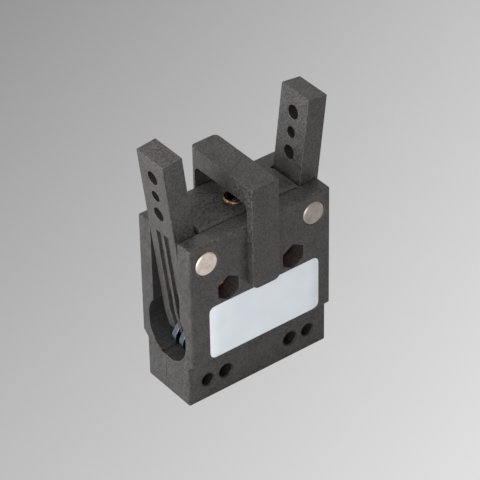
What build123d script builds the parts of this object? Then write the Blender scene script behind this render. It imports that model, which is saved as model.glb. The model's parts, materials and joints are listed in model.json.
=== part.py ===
from build123d import *
import math
import os

# Single-acting pneumatic gripper with two angular jaws, normally open.
# Millimetres. X runs across the jaws, -Y is the labelled front, Z is up.
# The origin is the centre of the bottom face. The model stands at rest: no air, jaws open.

# Moulded body in two shells
BODY_WIDTH = 40.0
BODY_DEPTH = 19.2
BODY_HEIGHT = 45.4
BASE_RECESS = 1.7
BASE_HEIGHT = 10.9
SHOULDER_RISE = 1.5
EDGE_ROUND = 0.5
PARTING_Y = 0.9
PARTING_STEP_Y = 0.4
PARTING_STEP_HEIGHT = 2.2

# Space for the jaws between the two cheeks of the body
CHANNEL_FLOOR = 10.0
WINDOW_RADIUS = 7.0
WINDOW_STRETCH = 1.6
WINDOW_DEPTH = 6.0

# Mounting holes through the base
BASE_HOLE_Z = 5.4
DOWEL_HOLE_X = 14.6
DOWEL_HOLE_DIAMETER = 3.1
BOLT_HOLE_X = 9.4
BOLT_HOLE_DIAMETER = 3.5
HOLE_MOUTH = 0.25

# Screws that clamp the two shells
CLAMP_FROM_PIVOT = 6.0
CLAMP_BELOW_TOP = 14.7
SCREW_DIAMETER = 3.0
SCREW_HOLE_DIAMETER = 3.2
SCREW_HEAD_DIAMETER = 5.5
SCREW_HEAD_HEIGHT = 3.0
SCREW_KEY_ACROSS_FLATS = 2.5
SCREW_KEY_DEPTH = 1.5
SCREW_HEAD_SUNK = 0.4
COUNTERBORE_FIT = 0.3
NUT_ACROSS_FLATS = 5.5
NUT_HEIGHT = 2.4
NUT_POCKET_FIT = 0.2
NUT_POCKET_DEPTH = 6.4
CLAMP_BOSS_WALL = 0.4
CLAMP_BOSS_INNER = 3.95
CLAMP_BOSS_BELOW = 3.7
CLAMP_BOSS_ABOVE = 3.9
CLAMP_BOSS_ROUND = 1.8

# Pivot pins and jaws; a jaw is drawn upright in a frame at its pivot
PIVOT_INSET = 4.75
PIVOT_BELOW_TOP = 5.3
PIVOT_PIN_DIAMETER = 6.0
PIN_CHAMFER = 0.3
PIN_PROUD = 0.1
OPEN_ANGLE = 7.0
CLOSE_ANGLE = 1.5
JAW_WIDTH = 9.7
JAW_OUTER = 4.4
JAW_INNER = 1.0
JAW_REACH = 27.5
JAW_BOSS_WALL = 1.8
JAW_EDGE_ROUND = 0.3
TAIL_WALL = 1.35
TAIL_BEYOND_PIN = 4.2
TAIL_WIDEN_TOP = 8.5
TAIL_WIDEN_BOTTOM = 3.5
TAIL_RELIEF = 0.7
TAIL_RELIEF_LENGTH = 8.0
TAIL_END_ROUND = 1.2
TIP_HOLE_DIAMETER = 3.5
MIDDLE_HOLE_DIAMETER = 2.8
TIP_HOLE_FROM_END = 5.5
TIP_HOLE_PITCH = 5.25
CENTRE_RIB = 0.95
SLIT_DEPTH = 1.0
SLIT_TOP = 5.8
SLIT_ROUND = 0.5
FORK_ABOVE_PIN = 9.5

# Cam drive between the piston rod and the tails of the jaws
STROKE = 4.5
CAM_PIN_DIAMETER = 2.5
CAM_PIN_INSET = 1.8
CAM_PIN_ABOVE_HUB = 0.2
CAM_PIN_SHORT = 0.1
CAM_PLATE_THICKNESS = 1.5
CAM_PLATE_RIM = 1.7
CAM_SLOT_OVERRUN = 0.3
CAM_ROOT_X = 2.9
CAM_ARM_X = 8.6
HUB_HEIGHT = 4.2
HUB_WIDTH = 13.2
HUB_DEPTH = 9.4
HUB_ROUND = 0.8
HUB_PIN_X = 4.8
HUB_PIN_DIAMETER = 1.5

# Cylinder
BORE = 11.0
LINER_WALL = 1.0
LINER_FLANGE_WIDTH = 0.8
LINER_FLANGE_LOW = 8.0
LINER_FLANGE_HEIGHT = 1.5
CLIP_LOW = 0.5
CLIP_THICKNESS = 0.8
CLIP_GROOVE_DEPTH = 0.4
CLIP_WIDTH = 1.4
CLIP_GAP_ANGLE = 36.0
CAP_HEIGHT = 3.4
RING_GROOVE_WIDTH = 1.1
RING_CORD = 0.95
PORT_THREAD_DIAMETER = 5.0
PISTON_HEIGHT = 4.2
PISTON_NUT_HEIGHT = 1.8
PISTON_NUT_SUNK = 0.2
GLAND_HEIGHT = 2.5
GLAND_FLANGE = 0.7

# Piston rod, its upper bush and the return spring
ROD_DIAMETER = 4.0
ROD_SPIGOT_DIAMETER = 3.0
ROD_NECK_DIAMETER = 3.4
ROD_BELOW_TOP = 0.9
BUSH_WALL = 1.0
BUSH_LENGTH = 4.1
BUSH_PROUD = 0.5
BUSH_LEDGE = 0.5
SEAT_THICKNESS = 1.0
SPRING_DIAMETER = 7.2
SPRING_WIRE = 0.8
SPRING_TURNS = 7.0
SPRING_LENGTH = 11.0

# Core block between the cheeks
CORE_PROUD = 0.7
CORE_TOP_FROM_PIVOT = 1.45
CORE_FOOT_FROM_PIVOT = 3.25
CORE_LIP = 2.2
CORE_CHAMFER = 0.35
CORE_SPIGOT_DIAMETER = 3.0
CORE_SPIGOT_HEIGHT = 1.0
CORE_SPIGOT_BELOW_TOP = 4.1

# Yoke that bridges the core block and hooks into both shells
YOKE_WIDTH = 7.8
YOKE_LEG = 2.0
YOKE_GAP = 5.7
YOKE_BAR = 4.8
YOKE_LEG_DROP = 17.0
YOKE_INNER_ROUND = 1.6
YOKE_EDGE_ROUND = 0.4
YOKE_REAR_ROUND = 1.9
YOKE_FOOT_ROUND = 1.8
HOOK_WIDTH = 5.0
HOOK_DEPTH = 0.7
HOOK_ABOVE_FOOT = 1.9
HOOK_HEIGHT = 1.6

# Label
LABEL_WIDTH = 31.4
LABEL_HEIGHT = 14.6
LABEL_OFFSET_X = 0.8
LABEL_ABOVE_SHOULDER = 0.3
LABEL_THICKNESS = 0.15
LABEL_ROUND = 1.8

# Clearances
RUNNING_FIT = 0.03
SLIDING_FIT = 0.05
SEAT_FIT = 0.01
PLATE_SIDE_GAP = 0.175
JAW_SIDE_GAP = 0.25
JAW_BOSS_GAP = 0.3
PISTON_GAP = 0.2
PISTON_TOP_GAP = 0.3
HUB_GAP = 0.8
SPRING_GAP = 0.4

# Places and sizes that follow from the ones above
HALF_WIDTH = BODY_WIDTH / 2
HALF_DEPTH = BODY_DEPTH / 2
BASE_HALF = HALF_DEPTH - BASE_RECESS
SHOULDER_TOP = BASE_HEIGHT + SHOULDER_RISE
CHANNEL_HALF = JAW_WIDTH / 2 + JAW_SIDE_GAP
JAW_HALF = JAW_WIDTH / 2
PIVOT_X = HALF_WIDTH - PIVOT_INSET
PIVOT_Z = BODY_HEIGHT - PIVOT_BELOW_TOP
PIVOT_PIN_RADIUS = PIVOT_PIN_DIAMETER / 2
JAW_BOSS_RADIUS = PIVOT_PIN_RADIUS + JAW_BOSS_WALL
CLAMP_X = PIVOT_X - CLAMP_FROM_PIVOT
CLAMP_Z = BODY_HEIGHT - CLAMP_BELOW_TOP
CLAMP_BOSS_LOW = CLAMP_Z - CLAMP_BOSS_BELOW
CLAMP_BOSS_HIGH = CLAMP_Z + CLAMP_BOSS_ABOVE
NUT_POCKET_ACROSS_FLATS = NUT_ACROSS_FLATS + 2 * NUT_POCKET_FIT
COUNTERBORE_DEPTH = SCREW_HEAD_HEIGHT + SCREW_HEAD_SUNK
BORE_RADIUS = BORE / 2
LINER_RADIUS = BORE_RADIUS + LINER_WALL
LINER_FLANGE_RADIUS = LINER_RADIUS + LINER_FLANGE_WIDTH
CAP_LOW = CLIP_LOW + CLIP_THICKNESS
CAP_TOP = CAP_LOW + CAP_HEIGHT
PISTON_LOW = CAP_TOP + PISTON_GAP
PISTON_TOP = PISTON_LOW + PISTON_HEIGHT
PISTON_NUT_RECESS = PISTON_NUT_HEIGHT + PISTON_NUT_SUNK
LINER_TOP = PISTON_TOP + STROKE + PISTON_TOP_GAP + GLAND_HEIGHT
HUB_LOW = LINER_TOP + GLAND_FLANGE + HUB_GAP
HUB_TOP = HUB_LOW + HUB_HEIGHT
HUB_MIDDLE = (HUB_LOW + HUB_TOP) / 2
CAM_PIN_DROP = PIVOT_Z - HUB_LOW - CAM_PIN_ABOVE_HUB
TAIL_INNER = CAM_PIN_INSET + CAM_PIN_DIAMETER / 2 + TAIL_WALL
JAW_TAIL = CAM_PIN_DROP + TAIL_BEYOND_PIN
SLIT_WIDTH = CAM_PLATE_THICKNESS + 2 * PLATE_SIDE_GAP
SLIT_Y = (CENTRE_RIB + SLIT_WIDTH) / 2
CORE_TOP = BODY_HEIGHT + CORE_PROUD
ROD_RADIUS = ROD_DIAMETER / 2
ROD_NECK_RADIUS = ROD_NECK_DIAMETER / 2
ROD_TOP = CORE_TOP - ROD_BELOW_TOP
BUSH_TOP = CORE_TOP + BUSH_PROUD
BUSH_LOW = BUSH_TOP - BUSH_LENGTH
SPRING_TOP = BUSH_LOW - BUSH_LEDGE
SPRING_LOW = SPRING_TOP - SPRING_LENGTH
SEAT_Z = SPRING_LOW - SEAT_THICKNESS
SPRING_WELL_RADIUS = SPRING_DIAMETER / 2 + SPRING_GAP
YOKE_UNDERSIDE = BODY_HEIGHT + YOKE_GAP
YOKE_TOP = YOKE_UNDERSIDE + YOKE_BAR
YOKE_FOOT = BODY_HEIGHT - YOKE_LEG_DROP
HOOK_LOW = YOKE_FOOT + HOOK_ABOVE_FOOT
LABEL_LOW = SHOULDER_TOP + LABEL_ABOVE_SHOULDER
SIDES = {"left": -1, "right": 1}


def prism_x(profile, x_low, x_high):
    """Extrude a YZ outline from x_low to x_high."""
    plane = Plane(origin=(x_low, 0, 0), x_dir=(0, 1, 0), z_dir=(1, 0, 0))
    return extrude(plane * profile, amount=x_high - x_low)


def prism_y(profile, y_front, y_rear):
    """Extrude an XZ outline from y_front to y_rear."""
    plane = Plane(origin=(0, y_rear, 0), x_dir=(1, 0, 0), z_dir=(0, -1, 0))
    return extrude(plane * profile, amount=y_rear - y_front)


def prism_z(profile, z_low, z_high):
    """Extrude an XY outline from z_low to z_high."""
    return extrude(Pos(0, 0, z_low) * profile, amount=z_high - z_low)


def rect(u_low, u_high, v_low, v_high):
    """Rectangle between two corners in a sketch."""
    centre = Pos((u_low + u_high) / 2, (v_low + v_high) / 2)
    return centre * Rectangle(u_high - u_low, v_high - v_low)


def outline(*points):
    """Closed outline through its corner points."""
    return make_face(Polyline(*points, close=True))


def rod_z(radius, z_low, z_high):
    """Upright cylinder on the centre line."""
    return prism_z(Circle(radius), z_low, z_high)


def rod_y(radius, x, z, y_front, y_rear):
    """Cylinder along Y."""
    return prism_y(Pos(x, z) * Circle(radius), y_front, y_rear)


def drilled(radius, x, z, half_depth):
    """Cutter for a hole along Y with a chamfered mouth at each face."""
    wide, beyond = radius + HOLE_MOUTH, half_depth + 1
    profile = outline(
        (0, -beyond), (wide, -beyond), (wide, -half_depth), (radius, HOLE_MOUTH - half_depth),
        (radius, half_depth - HOLE_MOUTH), (wide, half_depth), (wide, beyond), (0, beyond),
    )
    return Pos(x, 0, z) * revolve(profile, Axis.Y)


def turned(*points):
    """Piece turned about the centre line from its radius and height points."""
    return revolve(Plane.XZ * outline(*points), Axis.Z)


def hexagon(across_flats, x, z):
    """Hexagon with its flats at left and right."""
    return Pos(x, z) * RegularPolygon(across_flats / 2, 6, major_radius=False, rotation=30)


def corners_at(sketch, u, v):
    """Corner points of a sketch that lie at u and v; None leaves that one free."""
    return [
        p for p in sketch.vertices()
        if (u is None or math.isclose(p.X, u, abs_tol=1e-6)) and (v is None or math.isclose(p.Y, v, abs_tol=1e-6))
    ]


def body_blank():
    """Outer form of the body: upper box, sloping shoulder and recessed base."""
    side = outline(
        (-BASE_HALF, 0), (BASE_HALF, 0), (BASE_HALF, BASE_HEIGHT), (HALF_DEPTH, SHOULDER_TOP),
        (HALF_DEPTH, BODY_HEIGHT), (-HALF_DEPTH, BODY_HEIGHT), (-HALF_DEPTH, SHOULDER_TOP),
        (-BASE_HALF, BASE_HEIGHT),
    )
    blank = prism_x(side, -HALF_WIDTH, HALF_WIDTH)
    return fillet(blank.edges(), EDGE_ROUND)


def clamp_boss_profile(side):
    """Outline of the boss round a clamp screw, on the centre side of a jaw."""
    inner = side * (CLAMP_X - CLAMP_BOSS_INNER)
    outer = side * (CLAMP_X + NUT_POCKET_ACROSS_FLATS / 2 + CLAMP_BOSS_WALL)
    boss = rect(min(inner, outer), max(inner, outer), CLAMP_BOSS_LOW, CLAMP_BOSS_HIGH)
    return fillet(corners_at(boss, None, CLAMP_BOSS_LOW), CLAMP_BOSS_ROUND)


def jaw_channel():
    """Space between the cheeks, with the clamp bosses left standing."""
    channel = rect(-HALF_WIDTH - 1, HALF_WIDTH + 1, CHANNEL_FLOOR, BODY_HEIGHT + 1)
    for side in SIDES.values():
        channel -= clamp_boss_profile(side)
    return prism_y(channel, -CHANNEL_HALF, CHANNEL_HALF)


def side_windows():
    """Rounded windows in both ends of the body, round the tails of the jaws."""
    low = CHANNEL_FLOOR + WINDOW_RADIUS
    lower, upper = Pos(0, low) * Circle(WINDOW_RADIUS), Pos(0, low + WINDOW_STRETCH) * Circle(WINDOW_RADIUS)
    window = make_hull([*lower.edges(), *upper.edges()])
    inner = HALF_WIDTH - WINDOW_DEPTH
    return prism_x(window, inner, HALF_WIDTH + 1) + prism_x(window, -HALF_WIDTH - 1, -inner)


def liner_cavity():
    """Seat for the liner, its flange and the gland."""
    tube = rod_z(LINER_RADIUS + SEAT_FIT, -1, LINER_TOP + GLAND_FLANGE)
    flange = rod_z(LINER_FLANGE_RADIUS + SEAT_FIT, LINER_FLANGE_LOW, LINER_FLANGE_LOW + LINER_FLANGE_HEIGHT)
    return tube + flange


def body_holes():
    """Every round and hexagonal hole that runs front to back."""
    front, rear = -HALF_DEPTH - 1, HALF_DEPTH + 1
    holes = []
    for side in SIDES.values():
        holes.append(drilled(PIVOT_PIN_RADIUS + SEAT_FIT, side * PIVOT_X, PIVOT_Z, HALF_DEPTH))
        holes.append(drilled(DOWEL_HOLE_DIAMETER / 2, side * DOWEL_HOLE_X, BASE_HOLE_Z, BASE_HALF))
        holes.append(drilled(BOLT_HOLE_DIAMETER / 2, side * BOLT_HOLE_X, BASE_HOLE_Z, BASE_HALF))
        holes.append(rod_y(SCREW_HOLE_DIAMETER / 2, side * CLAMP_X, CLAMP_Z, front, rear))
        holes.append(rod_y(SCREW_HEAD_DIAMETER / 2 + COUNTERBORE_FIT, side * CLAMP_X, CLAMP_Z,
                           HALF_DEPTH - COUNTERBORE_DEPTH, rear))
        holes.append(prism_y(hexagon(NUT_POCKET_ACROSS_FLATS, side * CLAMP_X, CLAMP_Z),
                             front, NUT_POCKET_DEPTH - HALF_DEPTH))
    spigot = CHANNEL_HALF + CORE_SPIGOT_HEIGHT + SEAT_FIT
    spigot_z = CORE_TOP - CORE_SPIGOT_BELOW_TOP
    holes.append(rod_y(CORE_SPIGOT_DIAMETER / 2 + SEAT_FIT, 0, spigot_z, -spigot, spigot))
    return holes


def hook_recesses():
    """Recesses in the front and rear faces for the hooks of the yoke."""
    half = HOOK_WIDTH / 2 + SEAT_FIT
    face = rect(-half, half, HOOK_LOW - SEAT_FIT, HOOK_LOW + HOOK_HEIGHT + SEAT_FIT)
    bottom = HALF_DEPTH - HOOK_DEPTH - SEAT_FIT
    return prism_y(face, -HALF_DEPTH - 1, -bottom) + prism_y(face, bottom, HALF_DEPTH + 1)


def parting_volume():
    """Everything in front of the parting face, which steps forward near the bottom."""
    reach, low, high = HALF_DEPTH + 1, -1, BODY_HEIGHT + 1
    section = outline(
        (-reach, low), (PARTING_STEP_Y, low), (PARTING_STEP_Y, PARTING_STEP_HEIGHT),
        (PARTING_Y, PARTING_STEP_HEIGHT), (PARTING_Y, high), (-reach, high),
    )
    return prism_x(section, -HALF_WIDTH - 1, HALF_WIDTH + 1)


def shells():
    """Front and rear shell, split at the parting face."""
    body = body_blank() - jaw_channel() - side_windows() - liner_cavity() - hook_recesses()
    for hole in body_holes():
        body -= hole
    front_zone = parting_volume()
    return body & front_zone, body - front_zone


def core_block():
    """Block that fills the space between the jaws, with the spring well and the bush seat."""
    half_top, half_foot = PIVOT_X - CORE_TOP_FROM_PIVOT, PIVOT_X - CORE_FOOT_FROM_PIVOT
    lip = CORE_TOP - CORE_LIP
    profile = outline(
        (-half_foot, CLAMP_BOSS_HIGH), (half_foot, CLAMP_BOSS_HIGH), (half_top, lip),
        (half_top, CORE_TOP), (-half_top, CORE_TOP), (-half_top, lip),
    )
    for side in SIDES.values():
        profile -= Pos(side * PIVOT_X, PIVOT_Z) * Circle(JAW_BOSS_RADIUS + JAW_BOSS_GAP)
    block = prism_y(profile, -CHANNEL_HALF, CHANNEL_HALF)
    spigot = CHANNEL_HALF + CORE_SPIGOT_HEIGHT
    block += rod_y(CORE_SPIGOT_DIAMETER / 2, 0, CORE_TOP - CORE_SPIGOT_BELOW_TOP, -spigot, spigot)
    block -= rod_z(SPRING_WELL_RADIUS, CLAMP_BOSS_HIGH - 1, SPRING_TOP)
    block -= rod_z(ROD_NECK_RADIUS + SPRING_GAP, CLAMP_BOSS_HIGH, CORE_TOP)
    block -= rod_z(ROD_NECK_RADIUS + BUSH_WALL + SEAT_FIT, BUSH_LOW, CORE_TOP + 1)
    rim = block.edges().filter_by(GeomType.LINE).group_by(Axis.Z)[-1]
    return chamfer(rim, CORE_CHAMFER)


def rod_bush():
    """Plain bush, slightly proud of the core block, that guides the neck of the rod."""
    outer, bore = ROD_NECK_RADIUS + BUSH_WALL, ROD_NECK_RADIUS + RUNNING_FIT
    bush = rod_z(outer, BUSH_LOW, BUSH_TOP)
    bush = chamfer(bush.edges().group_by(Axis.Z)[-1], PIN_CHAMFER)
    return bush - rod_z(bore, BUSH_LOW - 1, BUSH_TOP + 1)


def yoke():
    """Bridge with two legs that hook into the shells; its rear corners are rounded."""
    reach, half = HALF_DEPTH + YOKE_LEG, YOKE_WIDTH / 2
    side = rect(-reach, reach, YOKE_FOOT, YOKE_TOP)
    side = fillet(corners_at(side, None, YOKE_TOP), YOKE_EDGE_ROUND)
    inside = rect(-HALF_DEPTH, HALF_DEPTH, YOKE_FOOT - 1, YOKE_UNDERSIDE)
    side -= fillet(corners_at(inside, None, YOKE_UNDERSIDE), YOKE_INNER_ROUND)
    front = rect(-half, half, YOKE_FOOT, YOKE_TOP)
    front = fillet(corners_at(front, None, YOKE_FOOT), YOKE_FOOT_ROUND)
    front = fillet(corners_at(front, None, YOKE_TOP), YOKE_EDGE_ROUND)
    plan = rect(-half, half, -reach, reach)
    plan = fillet(corners_at(plan, None, reach), YOKE_REAR_ROUND)
    plan = fillet(corners_at(plan, None, -reach), YOKE_EDGE_ROUND)
    bridge = prism_x(side, -half, half) & prism_y(front, -reach, reach) & prism_z(plan, YOKE_FOOT, YOKE_TOP)
    hook = outline(
        (0, HOOK_LOW), (HOOK_DEPTH, HOOK_LOW + HOOK_HEIGHT / 2), (HOOK_DEPTH, HOOK_LOW + HOOK_HEIGHT),
        (0, HOOK_LOW + HOOK_HEIGHT),
    )
    front_hook = prism_x(Pos(-HALF_DEPTH, 0) * hook, -HOOK_WIDTH / 2, HOOK_WIDTH / 2)
    return bridge + front_hook + mirror(front_hook, Plane.XZ)


def label():
    """Blank adhesive label on the front face."""
    left = LABEL_OFFSET_X - LABEL_WIDTH / 2
    sheet = rect(left, left + LABEL_WIDTH, LABEL_LOW, LABEL_LOW + LABEL_HEIGHT)
    sheet = fillet(sheet.vertices(), LABEL_ROUND)
    return prism_y(sheet, -HALF_DEPTH - LABEL_THICKNESS, -HALF_DEPTH)


def clamp_screw(side):
    """Cap screw with its head sunk in the rear shell."""
    x = side * CLAMP_X
    seat = HALF_DEPTH - COUNTERBORE_DEPTH
    end = NUT_POCKET_DEPTH - HALF_DEPTH - NUT_HEIGHT
    head = rod_y(SCREW_HEAD_DIAMETER / 2, x, CLAMP_Z, seat, seat + SCREW_HEAD_HEIGHT)
    head = chamfer(head.edges().group_by(Axis.Y)[-1], PIN_CHAMFER)
    socket = prism_y(hexagon(SCREW_KEY_ACROSS_FLATS, x, CLAMP_Z),
                     seat + SCREW_HEAD_HEIGHT - SCREW_KEY_DEPTH, HALF_DEPTH + 1)
    return head + rod_y(SCREW_DIAMETER / 2, x, CLAMP_Z, end, seat) - socket


def clamp_nut(side):
    """Hexagon nut with chamfered corners, at the bottom of its pocket in the front shell."""
    x = side * CLAMP_X
    rear = NUT_POCKET_DEPTH - HALF_DEPTH
    front = rear - NUT_HEIGHT
    across_corners = NUT_ACROSS_FLATS / math.sqrt(3)
    nut = prism_y(hexagon(NUT_ACROSS_FLATS, x, CLAMP_Z), front, rear)
    cone = outline((0, front), (NUT_ACROSS_FLATS / 2, front), (across_corners, front + PIN_CHAMFER),
                   (across_corners, rear), (0, rear))
    nut &= Pos(x, 0, CLAMP_Z) * revolve(cone, Axis.Y)
    return nut - rod_y(SCREW_DIAMETER / 2 + SEAT_FIT, x, CLAMP_Z, front - 1, rear + 1)


def pivot_pin(side):
    """Steel pin through both cheeks and the jaw."""
    reach = HALF_DEPTH + PIN_PROUD
    pin = rod_y(PIVOT_PIN_RADIUS, side * PIVOT_X, PIVOT_Z, -reach, reach)
    return chamfer(pin.edges().filter_by(GeomType.CIRCLE), PIN_CHAMFER)


def jaw_profile():
    """Side outline of an upright right jaw: straight front, pivot boss and widened tail."""
    widen_top, widen_bottom = TAIL_WIDEN_TOP - CAM_PIN_DROP, TAIL_WIDEN_BOTTOM - CAM_PIN_DROP
    bar = outline(
        (-JAW_INNER, JAW_REACH), (JAW_OUTER, JAW_REACH), (JAW_OUTER, TAIL_RELIEF_LENGTH - JAW_TAIL),
        (JAW_OUTER - TAIL_RELIEF, -JAW_TAIL), (-TAIL_INNER, -JAW_TAIL),
        (-TAIL_INNER, widen_bottom), (-JAW_INNER, widen_top),
    )
    bar = fillet(corners_at(bar, None, -JAW_TAIL), TAIL_END_ROUND)
    bar = fillet(corners_at(bar, None, JAW_REACH), JAW_EDGE_ROUND)
    return bar + (Circle(JAW_BOSS_RADIUS) - rect(JAW_OUTER, 2 * JAW_BOSS_RADIUS, -JAW_BOSS_RADIUS, JAW_BOSS_RADIUS))


def jaw_slit(y_centre):
    """Cutter for a slit in the outer face that opens into the fork of the tail."""
    below = -JAW_TAIL - 1
    slit = rect(y_centre - SLIT_WIDTH / 2, y_centre + SLIT_WIDTH / 2, below, SLIT_TOP)
    slit = fillet(corners_at(slit, None, SLIT_TOP), SLIT_ROUND)
    fork = rect(y_centre - SLIT_WIDTH / 2, y_centre + SLIT_WIDTH / 2, below, FORK_ABOVE_PIN - CAM_PIN_DROP)
    beyond = JAW_OUTER + 1
    return prism_x(slit, JAW_OUTER - SLIT_DEPTH, beyond) + prism_x(fork, -TAIL_INNER - 1, beyond)


def upright_jaw():
    """Right jaw with its pivot at the origin and its gripping face upright."""
    section = rect(-JAW_BOSS_RADIUS, JAW_OUTER, -JAW_HALF, JAW_HALF)
    section = fillet(corners_at(section, JAW_OUTER, None), JAW_EDGE_ROUND)
    jaw = prism_y(jaw_profile(), -JAW_HALF, JAW_HALF) & prism_z(section, -JAW_TAIL, JAW_REACH)
    jaw -= rod_y(PIVOT_PIN_RADIUS + RUNNING_FIT, 0, 0, -JAW_WIDTH, JAW_WIDTH)
    jaw -= rod_y(CAM_PIN_DIAMETER / 2 + SEAT_FIT, -CAM_PIN_INSET, -CAM_PIN_DROP, -JAW_WIDTH, JAW_WIDTH)
    for centre in (-SLIT_Y, SLIT_Y):
        jaw -= jaw_slit(centre)
    for index, diameter in enumerate((TIP_HOLE_DIAMETER, MIDDLE_HOLE_DIAMETER, TIP_HOLE_DIAMETER)):
        height = JAW_REACH - TIP_HOLE_FROM_END - index * TIP_HOLE_PITCH
        jaw -= prism_x(Pos(0, height) * Circle(diameter / 2), -JAW_BOSS_RADIUS, JAW_OUTER + 1)
    return jaw


def set_jaw(piece, side):
    """Lean a right jaw's piece open, put it at its pivot and mirror it for the left."""
    placed = Pos(PIVOT_X, 0, PIVOT_Z) * Rot(0, OPEN_ANGLE, 0) * piece
    return placed if side > 0 else mirror(placed, Plane.YZ)


def cam_pin():
    """Cross pin in the tail of an upright right jaw."""
    half = JAW_HALF - CAM_PIN_SHORT
    pin = rod_y(CAM_PIN_DIAMETER / 2, -CAM_PIN_INSET, -CAM_PIN_DROP, -half, half)
    return chamfer(pin.edges().filter_by(GeomType.CIRCLE), PIN_CHAMFER / 2)


def cam_point(travel):
    """Where the right cam pin lies in the frame of the drive after some travel."""
    lean = math.radians(OPEN_ANGLE - (OPEN_ANGLE + CLOSE_ANGLE) * travel / STROKE)
    x = PIVOT_X - CAM_PIN_INSET * math.cos(lean) - CAM_PIN_DROP * math.sin(lean)
    z = PIVOT_Z + CAM_PIN_INSET * math.sin(lean) - CAM_PIN_DROP * math.cos(lean)
    return x, z - travel


def cam_plate(side, y_centre):
    """Hardened plate with the inclined slot that moves a jaw's cross pin."""
    start, middle, end = (cam_point(t) for t in (-CAM_SLOT_OVERRUN, STROKE / 2, STROKE + CAM_SLOT_OVERRUN))
    slot_radius = CAM_PIN_DIAMETER / 2 + SLIDING_FIT
    rim = slot_radius + CAM_PLATE_RIM
    upper, lower = Pos(*start) * Circle(rim), Pos(*end) * Circle(rim)
    arm = outline((CAM_ROOT_X, HUB_LOW), (CAM_ARM_X, HUB_LOW), (start[0], start[1] + rim), (CAM_ROOT_X, HUB_TOP))
    profile = make_hull([*upper.edges(), *lower.edges()]) + arm
    profile -= SlotArc(ThreePointArc(start, middle, end), 2 * slot_radius)
    profile -= Pos(HUB_PIN_X, HUB_MIDDLE) * Circle(HUB_PIN_DIAMETER / 2 + SEAT_FIT)
    half = CAM_PLATE_THICKNESS / 2
    plate = prism_y(profile, y_centre - half, y_centre + half)
    return plate if side > 0 else mirror(plate, Plane.YZ)


def hub():
    """Crosshead on the rod, slotted for the four cam plates."""
    half_width, half_depth = HUB_WIDTH / 2, HUB_DEPTH / 2
    plan = rect(-half_width, half_width, -half_depth, half_depth)
    plan = fillet(plan.vertices(), HUB_ROUND)
    half_slot = CAM_PLATE_THICKNESS / 2 + SEAT_FIT
    for side in SIDES.values():
        near, far = side * (CAM_ROOT_X - SEAT_FIT), side * HUB_WIDTH
        for centre in (-SLIT_Y, SLIT_Y):
            plan -= rect(min(near, far), max(near, far), centre - half_slot, centre + half_slot)
    block = prism_z(plan - Circle(ROD_RADIUS + SEAT_FIT), HUB_LOW, HUB_TOP)
    for x in (-HUB_PIN_X, 0, HUB_PIN_X):
        block -= rod_y(HUB_PIN_DIAMETER / 2 + SEAT_FIT, x, HUB_MIDDLE, -HUB_DEPTH, HUB_DEPTH)
    return block


def hub_pins():
    """Three pins: one holds the rod, two hold the plates."""
    half = HUB_DEPTH / 2
    return [rod_y(HUB_PIN_DIAMETER / 2, x, HUB_MIDDLE, -half, half) for x in (-HUB_PIN_X, 0, HUB_PIN_X)]


def liner():
    """Cylinder liner with a locating flange and a groove for the retaining ring."""
    clip_groove = BORE_RADIUS + CLIP_GROOVE_DEPTH
    flange_top = LINER_FLANGE_LOW + LINER_FLANGE_HEIGHT
    return turned(
        (BORE_RADIUS, 0), (LINER_RADIUS, 0), (LINER_RADIUS, LINER_FLANGE_LOW),
        (LINER_FLANGE_RADIUS, LINER_FLANGE_LOW), (LINER_FLANGE_RADIUS, flange_top),
        (LINER_RADIUS, flange_top), (LINER_RADIUS, LINER_TOP), (BORE_RADIUS, LINER_TOP),
        (BORE_RADIUS, CAP_LOW), (clip_groove, CAP_LOW), (clip_groove, CLIP_LOW), (BORE_RADIUS, CLIP_LOW),
    )


def retaining_ring():
    """Spring ring in the liner's groove, open at the front."""
    outer = BORE_RADIUS + CLIP_GROOVE_DEPTH - SEAT_FIT
    ring = Circle(outer) - Circle(outer - CLIP_WIDTH)
    half, reach = math.radians(CLIP_GAP_ANGLE / 2), 2 * outer
    across, away = reach * math.sin(half), reach * math.cos(half)
    return prism_z(ring - outline((0, 0), (across, -away), (-across, -away)), CLIP_LOW, CAP_LOW)


def end_cap():
    """Plug in the foot of the liner, with the air port and a ring groove."""
    radius, groove, port = BORE_RADIUS - SEAT_FIT, BORE_RADIUS - RING_CORD, PORT_THREAD_DIAMETER / 2
    low = CAP_LOW + (CAP_HEIGHT - RING_GROOVE_WIDTH) / 2
    high = low + RING_GROOVE_WIDTH
    return turned(
        (port, CAP_LOW), (radius, CAP_LOW), (radius, low), (groove, low),
        (groove, high), (radius, high), (radius, CAP_TOP), (port, CAP_TOP),
    )


def seal_ring(z_centre):
    """Round-section sealing ring in a groove against the bore."""
    cord = RING_CORD / 2 - SEAT_FIT
    return Pos(0, 0, z_centre) * Torus(BORE_RADIUS - RING_CORD / 2, cord)


def piston():
    """Piston with its seal groove and a recess for the nut."""
    radius, groove = BORE_RADIUS - SLIDING_FIT, BORE_RADIUS - RING_CORD
    low = PISTON_TOP - 2 * RING_GROOVE_WIDTH
    high = low + RING_GROOVE_WIDTH
    recess = PISTON_LOW + PISTON_NUT_RECESS
    nut, stem = NUT_ACROSS_FLATS / math.sqrt(3) + SLIDING_FIT, ROD_SPIGOT_DIAMETER / 2 + SEAT_FIT
    return turned(
        (nut, PISTON_LOW), (radius, PISTON_LOW), (radius, low), (groove, low), (groove, high),
        (radius, high), (radius, PISTON_TOP), (stem, PISTON_TOP), (stem, recess), (nut, recess),
    )


def piston_nut():
    """Thin nut that holds the piston on the rod."""
    high = PISTON_LOW + PISTON_NUT_RECESS
    shape = hexagon(NUT_ACROSS_FLATS, 0, 0) - Circle(ROD_SPIGOT_DIAMETER / 2 + SEAT_FIT)
    return prism_z(shape, high - PISTON_NUT_HEIGHT, high)


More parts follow.
